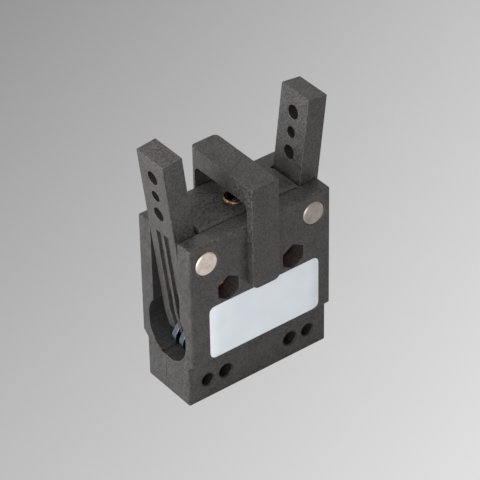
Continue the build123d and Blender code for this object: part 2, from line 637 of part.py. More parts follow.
def gland():
    """Flanged bush that closes the top of the liner and guides the rod."""
    bore, inner = ROD_RADIUS + RUNNING_FIT, BORE_RADIUS - SEAT_FIT
    low, high = LINER_TOP - GLAND_HEIGHT, LINER_TOP + GLAND_FLANGE
    return turned(
        (bore, low), (inner, low), (inner, LINER_TOP), (LINER_RADIUS, LINER_TOP), (LINER_RADIUS, high), (bore, high),
    )


def piston_rod():
    """Stepped rod from the piston through the hub to the upper bush."""
    spigot = ROD_SPIGOT_DIAMETER / 2
    low = PISTON_LOW + PISTON_NUT_SUNK
    rod = turned(
        (0, low), (spigot, low), (spigot, PISTON_TOP), (ROD_RADIUS, PISTON_TOP), (ROD_RADIUS, SEAT_Z),
        (ROD_NECK_RADIUS, SEAT_Z), (ROD_NECK_RADIUS, ROD_TOP - PIN_CHAMFER),
        (ROD_NECK_RADIUS - PIN_CHAMFER, ROD_TOP), (0, ROD_TOP),
    )
    return rod - rod_y(HUB_PIN_DIAMETER / 2 + SEAT_FIT, 0, HUB_MIDDLE, -HUB_DEPTH, HUB_DEPTH)


def spring_seat():
    """Washer on the rod's shoulder that carries the spring."""
    ring = Circle(SPRING_DIAMETER / 2) - Circle(ROD_NECK_RADIUS + SEAT_FIT)
    return prism_z(ring, SEAT_Z, SPRING_LOW)


def return_spring():
    """Coil spring with ends ground flat, between its seat and the roof of the well."""
    radius = (SPRING_DIAMETER - SPRING_WIRE) / 2
    path = Helix(pitch=SPRING_LENGTH / SPRING_TURNS, height=SPRING_LENGTH, radius=radius)
    section = Plane(origin=path @ 0, z_dir=path % 0) * Circle(SPRING_WIRE / 2)
    coil = Pos(0, 0, SPRING_LOW) * sweep(section, path=path, is_frenet=True)
    return coil & rod_z(SPRING_DIAMETER, SPRING_LOW, SPRING_TOP)


def as_group(pieces):
    """Identical separate solids kept together in one node."""
    return Compound(children=list(pieces))


def build_nodes():
    """All sub-parts by node name."""
    front_shell, rear_shell = shells()
    nodes = {
        "front_shell": front_shell,
        "rear_shell": rear_shell,
        "core_block": core_block(),
        "yoke": yoke(),
        "label": label(),
        "clamp_screws": as_group(clamp_screw(side) for side in SIDES.values()),
        "clamp_nuts": as_group(clamp_nut(side) for side in SIDES.values()),
        "cylinder_liner": liner(),
        "retaining_ring": retaining_ring(),
        "end_cap": end_cap(),
        "end_cap_seal": seal_ring(CAP_LOW + CAP_HEIGHT / 2),
        "rod_gland": gland(),
        "rod_bush": rod_bush(),
        "piston": piston(),
        "piston_seal": seal_ring(PISTON_TOP - 1.5 * RING_GROOVE_WIDTH),
        "piston_nut": piston_nut(),
        "piston_rod": piston_rod(),
        "cam_hub": hub(),
        "hub_pins": as_group(hub_pins()),
        "spring_seat": spring_seat(),
        "return_spring": return_spring(),
    }
    for name, side in SIDES.items():
        nodes[f"{name}_jaw"] = set_jaw(upright_jaw(), side)
        nodes[f"{name}_cam_pin"] = set_jaw(cam_pin(), side)
        nodes[f"{name}_pivot_pin"] = pivot_pin(side)
        nodes[f"{name}_cam_plates"] = as_group(cam_plate(side, y) for y in (-SLIT_Y, SLIT_Y))
    return nodes


os.makedirs("parts", exist_ok=True)
for node_name, shape in build_nodes().items():
    export_step(shape, f"parts/{node_name}.step")
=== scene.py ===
"""Looks of a small pneumatic gripper with two angular jaws in a split nylon body.

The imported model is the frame. Every sub-assembly below reads its places and sizes from the frame's nodes,
makes the finished surfaces and lets them ride on the frame's bodies. All lengths are in metres unless a name
ends in _MM, X runs across the jaws, -Y is the labelled front and Z is up.
"""

from __future__ import annotations

import json
import logging
import math
from dataclasses import dataclass
from enum import Enum
from typing import Any, Callable

import bmesh
import bpy
import numpy as np
from mathutils import Matrix, Vector

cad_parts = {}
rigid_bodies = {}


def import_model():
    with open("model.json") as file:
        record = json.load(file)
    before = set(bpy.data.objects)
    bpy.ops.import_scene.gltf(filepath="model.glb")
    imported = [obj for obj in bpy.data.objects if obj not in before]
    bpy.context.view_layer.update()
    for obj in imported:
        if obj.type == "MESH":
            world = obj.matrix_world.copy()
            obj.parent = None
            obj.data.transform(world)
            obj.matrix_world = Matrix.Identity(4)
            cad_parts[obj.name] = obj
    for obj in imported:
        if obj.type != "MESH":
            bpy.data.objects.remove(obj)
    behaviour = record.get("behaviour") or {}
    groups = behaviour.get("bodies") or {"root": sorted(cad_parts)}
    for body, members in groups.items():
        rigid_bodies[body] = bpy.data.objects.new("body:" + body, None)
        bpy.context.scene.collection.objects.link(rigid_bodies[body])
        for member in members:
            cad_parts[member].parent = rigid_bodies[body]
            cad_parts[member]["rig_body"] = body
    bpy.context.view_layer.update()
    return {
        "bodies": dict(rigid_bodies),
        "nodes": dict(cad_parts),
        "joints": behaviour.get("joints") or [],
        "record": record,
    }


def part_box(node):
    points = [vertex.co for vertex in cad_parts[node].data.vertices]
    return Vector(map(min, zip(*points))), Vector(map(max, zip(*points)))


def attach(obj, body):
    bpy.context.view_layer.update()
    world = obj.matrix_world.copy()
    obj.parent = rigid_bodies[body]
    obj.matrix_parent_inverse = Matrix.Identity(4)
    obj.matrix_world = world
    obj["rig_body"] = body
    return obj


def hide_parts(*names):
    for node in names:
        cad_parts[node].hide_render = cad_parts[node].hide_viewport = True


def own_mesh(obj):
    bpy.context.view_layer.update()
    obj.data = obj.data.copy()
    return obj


LOG = logging.getLogger("gripper")
MM = 0.001
MERGE = 0.001 * MM
SHARP_ANGLE = math.radians(32)
FLAT_ANGLE = math.radians(0.5)
SIDES = {"left": -1.0, "right": 1.0}
FULL_TURN = 2 * math.pi
NUT_CONE_RISE = math.tan(math.pi / 6)
FLATS_TO_CORNERS = math.cos(math.pi / 6)
ROUND_COLUMNS = 96
SMALL_COLUMNS = 48
HEXAGON_COLUMNS = 144
EDGE_SEGMENTS = 3
TURNED_EDGE = 0.08 * MM
ROUND_LIMIT = 0.45
CLOUDY, FINE, PLAIN = 3.0, 2.0, 1.0  # detail of a noise: octaves after the first
PATTERN_START, PATTERN_STOP = 0.3, 0.7

Relief = Callable[[np.ndarray, np.ndarray], np.ndarray]


class Facing(Enum):
    """Which way a round piece's own Z axis points: the rows are the images of its X, Y and Z."""

    UP = ((1, 0, 0), (0, 1, 0), (0, 0, 1))
    FRONT = ((1, 0, 0), (0, 0, 1), (0, -1, 0))
    REAR = ((-1, 0, 0), (0, 0, 1), (0, 1, 0))


class Marks(Enum):
    """What the last process left on a metal surface."""

    TURNED = "fine lines round the piece, across its profile"
    ROLLED = "lines along the sheet or plate"
    COATED = "an even, faintly mottled skin"


def linear(hex_colour: str) -> tuple[float, float, float, float]:
    """Turns an sRGB hex colour into linear light.

    Formula: a channel up to 0.04045 is divided by 12.92; above it, it gains 0.055, is divided by 1.055 and
    raised to the power 2.4.

    Args:
        hex_colour: six hex digits after a hash sign.

    Returns:
        Red, green, blue and an alpha of one.
    """
    channels = np.array([int(hex_colour[i:i + 2], 16) for i in (1, 3, 5)]) / 255
    low, high = channels / 12.92, ((channels + 0.055) / 1.055) ** 2.4
    return (*(float(c) for c in np.where(channels <= 0.04045, low, high)), 1.0)


def add_node(tree: bpy.types.NodeTree, kind: str, settings: dict[str, Any] | None = None,
             inputs: dict[str | int, Any] | None = None) -> bpy.types.Node:
    """Adds one shader node with its settings, values and links.

    Args:
        tree: the node tree that gets the node.
        kind: the node's type name.
        settings: the node's own properties by name.
        inputs: a value, or another node's output to link, for each input by name or number.

    Returns:
        The new node.
    """
    node = tree.nodes.new(kind)
    for name, value in (settings or {}).items():
        setattr(node, name, value)
    for name, value in (inputs or {}).items():
        if isinstance(value, bpy.types.NodeSocket):
            tree.links.new(value, node.inputs[name])
        else:
            node.inputs[name].default_value = value
    return node


@dataclass(frozen=True)
class Pattern:
    """The node outputs, from 0 to 1, that drive a finish's tone, its roughness and, if given, its relief."""

    tone: bpy.types.NodeSocket
    wear: bpy.types.NodeSocket
    height: bpy.types.NodeSocket | None = None


@dataclass(frozen=True)
class Finish:
    """One real finish: two tints and a roughness, varied by a pattern of its own.

    The pattern's values tone_start and tone_stop give the two tints, smoother and rougher say how far the
    roughness goes down and up, and relief is how deep the pattern's height is.
    """

    name: str
    slot: str
    colour: str
    second_colour: str
    roughness: float
    tone_start: float = PATTERN_START
    tone_stop: float = PATTERN_STOP
    smoother: float = 0.0
    rougher: float = 0.0
    relief: float = 0.0

    def material(self) -> bpy.types.Material:
        """Gives the finish's material, and makes it on the first call."""
        found = bpy.data.materials.get(self.name)
        if found:
            return found
        material = bpy.data.materials.new(self.name)
        material.use_nodes = True
        material.node_tree.nodes.clear()
        shader = self.shade(material.node_tree)
        add_node(material.node_tree, "ShaderNodeOutputMaterial", inputs={"Surface": shader})
        return material

    def shade(self, tree: bpy.types.NodeTree) -> bpy.types.NodeSocket:
        """Lets the finish's pattern drive the colour, the roughness and the bump, and returns the shader."""
        pattern = self.pattern(tree)
        share = add_node(tree, "ShaderNodeMapRange", inputs={
            "Value": pattern.tone, "From Min": self.tone_start, "From Max": self.tone_stop})
        colour = add_node(tree, "ShaderNodeMix", {"data_type": "RGBA"}, {
            0: share.outputs["Result"], 6: linear(self.colour), 7: linear(self.second_colour)})
        roughness = add_node(tree, "ShaderNodeMapRange", inputs={
            "Value": pattern.wear, "From Min": PATTERN_START, "From Max": PATTERN_STOP,
            "To Min": self.roughness - self.smoother, "To Max": self.roughness + self.rougher})
        inputs = {"Base Color": colour.outputs[2], "Roughness": roughness.outputs["Result"]}
        if pattern.height is not None:
            inputs["Normal"] = add_node(tree, "ShaderNodeBump", inputs={
                "Distance": self.relief, "Height": pattern.height}).outputs["Normal"]
        shader = add_node(tree, "ShaderNodeBsdfPrincipled", inputs={**inputs, **self.constants()})
        return shader.outputs["BSDF"]

    def pattern(self, tree: bpy.types.NodeTree) -> Pattern:
        """Builds the nodes of the pattern; each finish has its own."""
        raise NotImplementedError

    def constants(self) -> dict[str, float]:
        """Gives the shader's inputs that are the same all over."""
        return {}


@dataclass(frozen=True)
class MouldedNylon(Finish):
    """Glass-filled nylon, injection moulded in a spark-eroded tool.

    To the eye it is a warm near-black with a dull sheen, faint cloudy flow patches and a fine pebble grain.
    The real grain is about 0.1 mm; it is drawn at 0.45 mm so that it shows in the render.
    """

    tone_start: float = 0.39
    tone_stop: float = 0.61
    smoother: float = 0.1
    rougher: float = 0.1
    relief: float = 0.03 * MM
    grain: float = 0.45 * MM
    patch: float = 4.0 * MM
    grain_share: float = 0.75
    ior: float = 1.53

    def pattern(self, tree: bpy.types.NodeTree) -> Pattern:
        """Patches and grain together drive the tone and the roughness, and the grain drives the relief."""
        place = add_node(tree, "ShaderNodeTexCoord").outputs["Object"]
        patches = add_node(tree, "ShaderNodeTexNoise", inputs={
            "Vector": place, "Scale": 1 / self.patch, "Detail": CLOUDY}).outputs["Fac"]
        grain = add_node(tree, "ShaderNodeTexNoise", inputs={
            "Vector": place, "Scale": 1 / self.grain, "Detail": PLAIN}).outputs["Fac"]
        mixed = add_node(tree, "ShaderNodeMix", inputs={0: self.grain_share, 2: patches, 3: grain}).outputs[0]
        return Pattern(mixed, mixed, grain)

    def constants(self) -> dict[str, float]:
        """Nylon's IOR."""
        return {"IOR": self.ior}


@dataclass(frozen=True)
class Metal(Finish):
    """A metal surface, told apart by its two tints, its roughness and the marks of its last process."""

    smoother: float = 0.06
    rougher: float = 0.06
    relief: float = 0.004 * MM
    marks: Marks = Marks.TURNED
    pitch: float = 0.25 * MM
    blotch_pitches: float = 6.0
    turned_pitches: float = 3.0
    rolled_share: float = 0.12

    def pattern(self, tree: bpy.types.NodeTree) -> Pattern:
        """Soft blotches drive the tone; the marks, noise drawn out into lines, drive the rest.

        Turning marks follow the piece's own UV map, where U goes round from 0 to 1 and V runs along the
        profile in metres. The marks run along the coordinate whose scale is smallest.
        """
        coordinates = add_node(tree, "ShaderNodeTexCoord").outputs
        blotch = self.blotch_pitches * self.pitch
        blotches = add_node(tree, "ShaderNodeTexNoise", inputs={
            "Vector": coordinates["Object"], "Scale": 1 / blotch, "Detail": CLOUDY})
        along = {Marks.TURNED: self.turned_pitches * self.pitch, Marks.ROLLED: self.rolled_share}
        stretch = add_node(tree, "ShaderNodeMapping", inputs={
            "Vector": coordinates["UV" if self.marks is Marks.TURNED else "Object"],
            "Scale": (along.get(self.marks, 1.0), 1.0, 1.0)})
        lines = add_node(tree, "ShaderNodeTexNoise", inputs={
            "Vector": stretch.outputs["Vector"], "Scale": 1 / self.pitch, "Detail": FINE}).outputs["Fac"]
        return Pattern(blotches.outputs["Fac"], lines, lines)

    def constants(self) -> dict[str, float]:
        """Bare metal all over."""
        return {"Metallic": 1.0}


@dataclass(frozen=True)
class LabelFilm(Finish):
    """Satin white polyester label film: nearly smooth, with a faint orange-peel and a cool tone."""

    smoother: float = 0.04
    rougher: float = 0.04
    relief: float = 0.006 * MM
    peel: float = 0.9 * MM
    cloud: float = 7.2 * MM
    coat: float = 0.15
    coat_roughness: float = 0.2

    def pattern(self, tree: bpy.types.NodeTree) -> Pattern:
        """A slow noise shifts the tone a little, and the peel drives the roughness and the relief."""
        place = add_node(tree, "ShaderNodeTexCoord").outputs["Object"]
        clouds, peel = (
            add_node(tree, "ShaderNodeTexNoise", inputs={
                "Vector": place, "Scale": 1 / size, "Detail": FINE}).outputs["Fac"]
            for size in (self.cloud, self.peel))
        return Pattern(clouds, peel, peel)

    def constants(self) -> dict[str, float]:
        """The film's clear coat."""
        return {"Coat Weight": self.coat, "Coat Roughness": self.coat_roughness}


@dataclass(frozen=True)
class SealRubber(Finish):
    """Black nitrile rubber, pressed: soft sheen with a film of grease that comes and goes."""

    smoother: float = 0.15
    rougher: float = 0.1
    patch: float = 0.8 * MM
    ior: float = 1.5

    def pattern(self, tree: bpy.types.NodeTree) -> Pattern:
        """One noise drives both the tone and the greasy roughness; the skin is smooth."""
        place = add_node(tree, "ShaderNodeTexCoord").outputs["Object"]
        patches = add_node(tree, "ShaderNodeTexNoise", inputs={
            "Vector": place, "Scale": 1 / self.patch, "Detail": FINE}).outputs["Fac"]
        return Pattern(patches, patches)

    def constants(self) -> dict[str, float]:
        """Rubber's IOR."""
        return {"IOR": self.ior}


BODY_NYLON = MouldedNylon("black glass-filled nylon, moulded", "black_nylon", "#262424", "#464342", 0.46)
# Painted shade: a darker nylon for the insides and mouths of holes, where light does not reach.
HOLE_SHADE_NYLON = MouldedNylon("black glass-filled nylon, painted shade in a hole", "black_nylon", "#161515", "#1c1b1b", 0.6)
# Painted shade: a darker, duller nylon for the walls of the jaws' channel and of the side windows.
CHANNEL_SHADE_NYLON = MouldedNylon("black glass-filled nylon, painted shade in the channel", "black_nylon", "#1b1a1a", "#2a2828", 0.6)
# Painted highlight: a lighter nylon on the rounded edges, where they catch the light.
BODY_EDGE_HIGHLIGHT = MouldedNylon("black glass-filled nylon, painted edge highlight", "black_nylon", "#3f3c3b", "#4c4947", 0.42)
JAW_NYLON = MouldedNylon("charcoal glass-filled nylon, moulded", "jaw_nylon", "#2b2828", "#4b4746", 0.48)
# Painted highlight on the jaws' rounded edges, as on the body.
JAW_EDGE_HIGHLIGHT = MouldedNylon("charcoal glass-filled nylon, painted edge highlight", "jaw_nylon", "#434040", "#514e4d", 0.43)
# Painted light: a lighter copy of the pin steel for the pivot pin on the lit left side.
LIT_PIN_STEEL = Metal("bearing steel, painted lighter where lit", "ground_steel", "#f3e6de", "#dccdc4", 0.5)
PIN_STEEL = Metal("bearing steel, ground and faced", "ground_steel", "#b9afaa", "#a59b96", 0.42)
ROD_STEEL = Metal("stainless steel, ground", "ground_steel", "#c9c8c6", "#b5b5b4", 0.22, pitch=0.15 * MM)
NUT_COPPER = Metal("steel, copper plated", "copper_nut", "#ffa873", "#e08850", 0.32, marks=Marks.COATED)
# Painted shade: a near-black copy of the copper plating for the nuts' flanks down in their pockets.
SHADED_COPPER = Metal("steel, copper plated, painted shade in the pocket", "copper_nut", "#2b2420", "#1f1a17", 0.5, marks=Marks.COATED)
SCREW_ZINC = Metal("steel, zinc plated", "zinc_steel", "#b9bcc2", "#9ea2ab", 0.3, marks=Marks.COATED)
LINER_METAL = Metal("aluminium, natural anodised", "anodised_aluminium", "#b4b5b8", "#a6a8ab", 0.38)
PISTON_METAL = Metal("aluminium, turned and anodised", "anodised_aluminium", "#b9babc", "#a9abad", 0.32)
CLIP_STEEL = Metal("spring steel, phosphated", "spring_steel", "#55565a", "#3f4043", 0.45, marks=Marks.COATED)
CAP_BRASS = Metal("brass, turned", "brass_turned", "#c9a561", "#b38f4c", 0.28)
# Painted shade: a near-black bronze for the bush's face and bore inside its rim, under the yoke.
SHADED_BRONZE = Metal("tin bronze, painted shade inside the rim", "bearing_bronze", "#2b2420", "#1f1a17", 0.5, marks=Marks.COATED)
BRONZE = Metal("tin bronze, sintered", "bearing_bronze", "#b38c74", "#8e6a56", 0.36, marks=Marks.COATED)
SPRING_COPPER = Metal("wire, copper coated", "copper_wire", "#b9683c", "#96502d", 0.3, marks=Marks.COATED)
HUB_METAL = Metal("aluminium, milled", "machined_aluminium", "#b5b7ba", "#a2a4a8", 0.34, marks=Marks.ROLLED)
# Partly painted shade: the plates' own bluish steel tone, darkened to stand in for the shade on them inside
# the jaw's tail.
DARKENED_PLATE_STEEL = Metal("tool steel, polished, darkened as painted shade", "hardened_steel", "#7d8894", "#646f7b", 0.24, marks=Marks.ROLLED)
FILM = LabelFilm("polyester label film, satin white", "label_film", "#dde3ea", "#e4e9ef", 0.36)
RUBBER = SealRubber("nitrile rubber, greased", "seal_rubber", "#1a1a1b", "#242425", 0.45)


@dataclass
class Surface:
    """A surface as a grid of points, one row and one column for each step of its two parameters."""

    points: np.ndarray
    along: np.ndarray
    rows_close: bool = False

    def quads(self) -> tuple[np.ndarray, np.ndarray]:
        """Joins each grid point to its next row and column; the columns, and closed rows, wrap round.

        Returns:
            The point numbers of each quad, and the U and V of its four corners.
        """
        rows, columns = self.points.shape[:2]
        index = np.arange(rows * columns).reshape(rows, columns)
        along = self.along
        if self.rows_close:
            index = np.vstack([index, index[:1]])
            along = np.append(along, along[-1] + along[1] - along[0])
        index = np.hstack([index, index[:, :1]])
        turns = np.arange(columns + 1) / columns
        u, v = np.meshgrid(turns, along)
        uv = np.stack([u, v], axis=-1)
        corners = [np.s_[:-1, :-1], np.s_[:-1, 1:], np.s_[1:, 1:], np.s_[1:, :-1]]
        faces = np.stack([index[c] for c in corners], axis=-1).reshape(-1, 4)
        return faces, np.stack([uv[c] for c in corners], axis=-2).reshape(-1, 4, 2)

    def moved(self, facing: Facing, origin: Vector) -> Surface:
        """Turns the surface to its facing and moves it to its origin."""
        placed = self.points @ np.array(facing.value, float) + np.array(origin)
        return Surface(placed, self.along, self.rows_close)


def full_turn(columns: int) -> np.ndarray:
    """Gives one row of angles, evenly round a circle from 0."""
    return np.linspace(0, FULL_TURN, columns, endpoint=False)[None, :]


def round_grid(radius: np.ndarray, angle: np.ndarray, height: np.ndarray) -> np.ndarray:
    """Gives the point (radius cos angle, radius sin angle, height) for each row and column of the three."""
    radius, angle, height = np.broadcast_arrays(radius, angle, height)
    return np.stack([radius * np.cos(angle), radius * np.sin(angle), height], axis=-1)


def path_length(points: np.ndarray) -> np.ndarray:
    """Distance of each point from the first one, along the points."""
    steps = np.linalg.norm(np.diff(points, axis=0), axis=1)
    return np.concatenate([[0.0], np.cumsum(steps)])


def rounded(corners: np.ndarray, size: float, closed: bool, steps: int = 4) -> np.ndarray:
    """Rounds the corners of a profile.

    Formula: with A and B the points at size before and after a corner C, the corner becomes the curve
    (1 - t)^2 A + 2 t (1 - t) C + t^2 B for t from 0 to 1; size is at most ROUND_LIMIT of either side.

    Args:
        corners: the profile's corner points, two numbers each.
        size: how far each round reaches along its two sides.
        closed: whether the last corner joins the first; otherwise the two ends stay.
        steps: how many stretches make a round.

    Returns:
        The points of the rounded profile.
    """
    before, after = np.roll(corners, 1, axis=0), np.roll(corners, -1, axis=0)
    back, ahead = before - corners, after - corners
    back_length = np.linalg.norm(back, axis=1, keepdims=True)
    ahead_length = np.linalg.norm(ahead, axis=1, keepdims=True)
    reach = np.minimum(size, ROUND_LIMIT * np.minimum(back_length, ahead_length))
    start = corners + back / back_length * reach
    end = corners + ahead / ahead_length * reach
    if not closed:
        start[[0, -1]] = end[[0, -1]] = corners[[0, -1]]
    t = np.linspace(0, 1, steps + 1)[None, :, None]
    curve = (1 - t) ** 2 * start[:, None] + 2 * t * (1 - t) * corners[:, None] + t ** 2 * end[:, None]
    return curve.reshape(-1, 2)


def lathe(corners: list[tuple[float, float]], edge: float = TURNED_EDGE, closed: bool = False,
          columns: int = ROUND_COLUMNS, relief: Relief | None = None) -> Surface:
    """Turns a profile about the Z axis.

    Formula: at profile point (radius, height) and angle a, the surface is (radius cos a, radius sin a,
    height), and the relief, a function of angle and height, is added to the radius.

    Args:
        corners: radius and height of each corner of the profile.
        edge: how far each corner's round reaches.
        closed: whether the profile is a loop, as of a ring or tube.
        columns: how many stretches go round.
        relief: the change of radius for a grid of angles and heights.

    Returns:
        The surface, with the distance along the profile for its UV map.
    """
    profile = rounded(np.array(corners, float), edge, closed)
    angle, radius, height = full_turn(columns), profile[:, :1], profile[:, 1:]
    if relief is not None:
        radius = radius + relief(angle, height)
    return Surface(round_grid(radius, angle, height), path_length(profile), closed)


def hexagonal(across_flats: float, angle: np.ndarray) -> np.ndarray:
    """Radius of a hexagon: half its width over the cosine of the angle from the nearest flat."""
    sixth = math.pi / 3
    return across_flats / 2 / np.cos((angle + sixth / 2) % sixth - sixth / 2)


def threaded(angle: np.ndarray, height: np.ndarray, pitch: float, depth: float) -> np.ndarray:
    """Relief of a V thread.

    Formula: t is height / pitch - angle / 2 pi less its whole part, and the relief is depth (|2 t - 1| - 1),
    which is 0 on a crest and -depth in the root.

    Args:
        angle: the angles round the axis.
        height: the heights along it.
        pitch: the distance between crests.
        depth: how far the root lies below the crest.

    Returns:
        The change of radius at each angle and height.
    """
    turn = (height / pitch - angle / FULL_TURN) % 1.0
    return depth * (np.abs(2 * turn - 1) - 1)


def hexagon_nut(across_flats: float, ends: tuple[float, float], rim: float, bore: np.ndarray,
                bore_height: np.ndarray, rim_drop: float = 0.0) -> Surface:
    """A hexagon nut with coned faces.

    Formula: each row has a radius and a height. On the flanks the radius is the hexagon's, and the height
    stops where a 30 degree cone from the face's rim cuts it, which gives the curved tops of the flats.

    Args:
        across_flats: the hexagon's width.
        ends: the heights of the lower and the upper face.
        rim: the radius at which the cones start.
        bore: the radii of the rows inside the rim, from the lower face to the upper one.
        bore_height: the heights of those rows.
        rim_drop: how far the cones are set back from the faces.

    Returns:
        The surface.
    """
    low, high = ends
    angle = full_turn(HEXAGON_COLUMNS)
    flank, ones = hexagonal(across_flats, angle), np.ones_like(angle)
    drop = rim_drop + (flank - rim) * NUT_CONE_RISE
    radius = np.vstack([bore * ones, rim * ones, flank, flank, rim * ones])
    height = np.vstack([bore_height * ones, (high - rim_drop) * ones, high - drop, low + drop, low * ones])
    points = round_grid(radius, angle, height)
    return Surface(points, path_length(points[:, 0]), True)


def turned_pin(radius: float, half: float, chamfer: float, dish: float = 0.0, edge: float = TURNED_EDGE,
               columns: int = ROUND_COLUMNS) -> Surface:
    """A pin along Z with chamfered ends that are dished a little by facing.

    Formula: the profile starts at the middle of one end, set back by the dish, and goes by half the dish at
    half the rim's radius, the rim and the chamfer to the other end, which is the same.

    Args:
        radius: the pin's radius.
        half: half its length.
        chamfer: the chamfer at both ends.
        dish: the depth of the dish.
        edge: how far each corner's round reaches.
        columns: how many stretches go round.

    Returns:
        The surface, centred on the origin.
    """
    rim = radius - chamfer
    end = [(0.0, half - dish), (rim / 2, half - dish / 2), (rim, half), (radius, half - chamfer)]
    return lathe([*((r, -z) for r, z in end), *reversed(end)], edge, columns=columns)


def mesh_from(surfaces: list[Surface], name: str) -> bpy.types.Mesh:
    """Puts surfaces into one mesh with closed seams, outward faces and a UV map in metres.

    Args:
        surfaces: the surfaces, each a closed skin of its own.
        name: the mesh's name.

    Returns:
        The mesh, smooth apart from edges sharper than SHARP_ANGLE.
    """
    parts = [s.quads() for s in surfaces]
    offsets = np.cumsum([0] + [s.points.shape[0] * s.points.shape[1] for s in surfaces[:-1]])
    points = np.concatenate([s.points.reshape(-1, 3) for s in surfaces])
    faces = np.concatenate([f + offset for (f, _), offset in zip(parts, offsets)])
    uv = np.concatenate([corner_uv for _, corner_uv in parts])
    mesh = bpy.data.meshes.new(name)
    mesh.vertices.add(len(points))
    mesh.vertices.foreach_set("co", points.ravel())
    mesh.loops.add(faces.size)
    mesh.loops.foreach_set("vertex_index", faces.ravel())
    mesh.polygons.add(len(faces))
    mesh.polygons.foreach_set("loop_start", np.arange(len(faces)) * 4)
    mesh.update(calc_edges=True)
    mesh.uv_layers.new(name="profile").data.foreach_set("uv", uv.ravel())
    sew(mesh)
    return mesh


def sew(mesh: bpy.types.Mesh, flat: float | None = None) -> None:
    """Merges doubles, closes seams, turns faces outwards and marks what stays sharp.

    Args:
        mesh: the mesh to mend in place.
        flat: if given, faces within this angle of each other become one.
    """
    work = bmesh.new()
    work.from_mesh(mesh)
    bmesh.ops.remove_doubles(work, verts=work.verts, dist=MERGE)
    bmesh.ops.recalc_face_normals(work, faces=work.faces)
    if flat is not None:
        bmesh.ops.dissolve_limit(work, angle_limit=flat, verts=work.verts, edges=work.edges)
    work.to_mesh(mesh)
    work.free()
    mesh.polygons.foreach_set("use_smooth", np.ones(len(mesh.polygons), bool))
    mesh.set_sharp_from_angle(angle=SHARP_ANGLE)


@dataclass(frozen=True)
class Patch:
    """Part of a piece with a finish of its own: holds tells whether a face's centre lies in it."""

    finish: Finish
    holds: Callable[[Vector], bool]


@dataclass
class SubAssembly:
    """What every sub-assembly shares: the frame and the way its pieces are placed."""

    frame: dict[str, Any]

    def place(self, mesh: bpy.types.Mesh, name: str, finish: Finish, *nodes: str) -> bpy.types.Object:
        """Shows a mesh as a finished piece in place of the frame's nodes.

        Args:
            mesh: the finished mesh, already where it belongs.
            name: the piece's name.
            finish: the piece's finish.
            nodes: the frame's nodes that it stands for; it rides on their body.

        Returns:
            The piece.
        """
        piece = bpy.data.objects.new(name, mesh)
        bpy.context.scene.collection.objects.link(piece)
        mesh.materials.clear()
        mesh.materials.append(finish.material())
        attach(piece, self.frame["nodes"][nodes[0]]["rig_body"])
        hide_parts(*nodes)
        LOG.info("%s: %d faces, %s", name, len(mesh.polygons), finish.name)
        return piece

    def soften(self, node: str, finish: Finish, edge_finish: Finish, width: float,
               patches: tuple[Patch, ...] = ()) -> bpy.types.Object:
        """Shows a copy of a node with its sharp edges rounded, the rounds in an edge finish.

        Args:
            node: the frame's node.
            finish: the finish of its faces.
            edge_finish: the finish of its rounded edges.
            width: how far each round reaches.
            patches: the parts of the piece that have another finish; a later one wins.

        Returns:
            The piece.
        """
        mesh = self.frame["nodes"][node].data.copy()
        if mesh.attributes.get("custom_normal"):
            mesh.attributes.remove(mesh.attributes["custom_normal"])
        sew(mesh, flat=FLAT_ANGLE)
        piece = self.place(mesh, f"{node}_finished", finish, node)
        mesh.materials.append(edge_finish.material())
        bevel = piece.modifiers.new("edge rounds", "BEVEL")
        bevel.width = width
        bevel.segments = EDGE_SEGMENTS
        bevel.limit_method = "ANGLE"
        bevel.angle_limit = SHARP_ANGLE
        bevel.use_clamp_overlap = False
        bevel.material = 1
        bevel.harden_normals = True
        if patches:
            self.paint(piece, patches)
        return piece

    def paint(self, piece: bpy.types.Object, patches: tuple[Patch, ...]) -> None:
        """Applies a piece's rounds and gives each patch its finish.

        Args:
            piece: the piece, with its rounds still in a modifier.
            patches: the parts that have another finish.
        """
        ready = piece.evaluated_get(bpy.context.evaluated_depsgraph_get())
        mesh = bpy.data.meshes.new_from_object(ready)
        piece.modifiers.clear()
        piece.data = mesh
        for patch in patches:
            mesh.materials.append(patch.finish.material())
            for face in mesh.polygons:
                if patch.holds(face.center):
                    face.material_index = len(mesh.materials) - 1

    def centre(self, node: str) -> Vector:
        """Middle of a node's box."""
        low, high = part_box(node)
        return (low + high) / 2


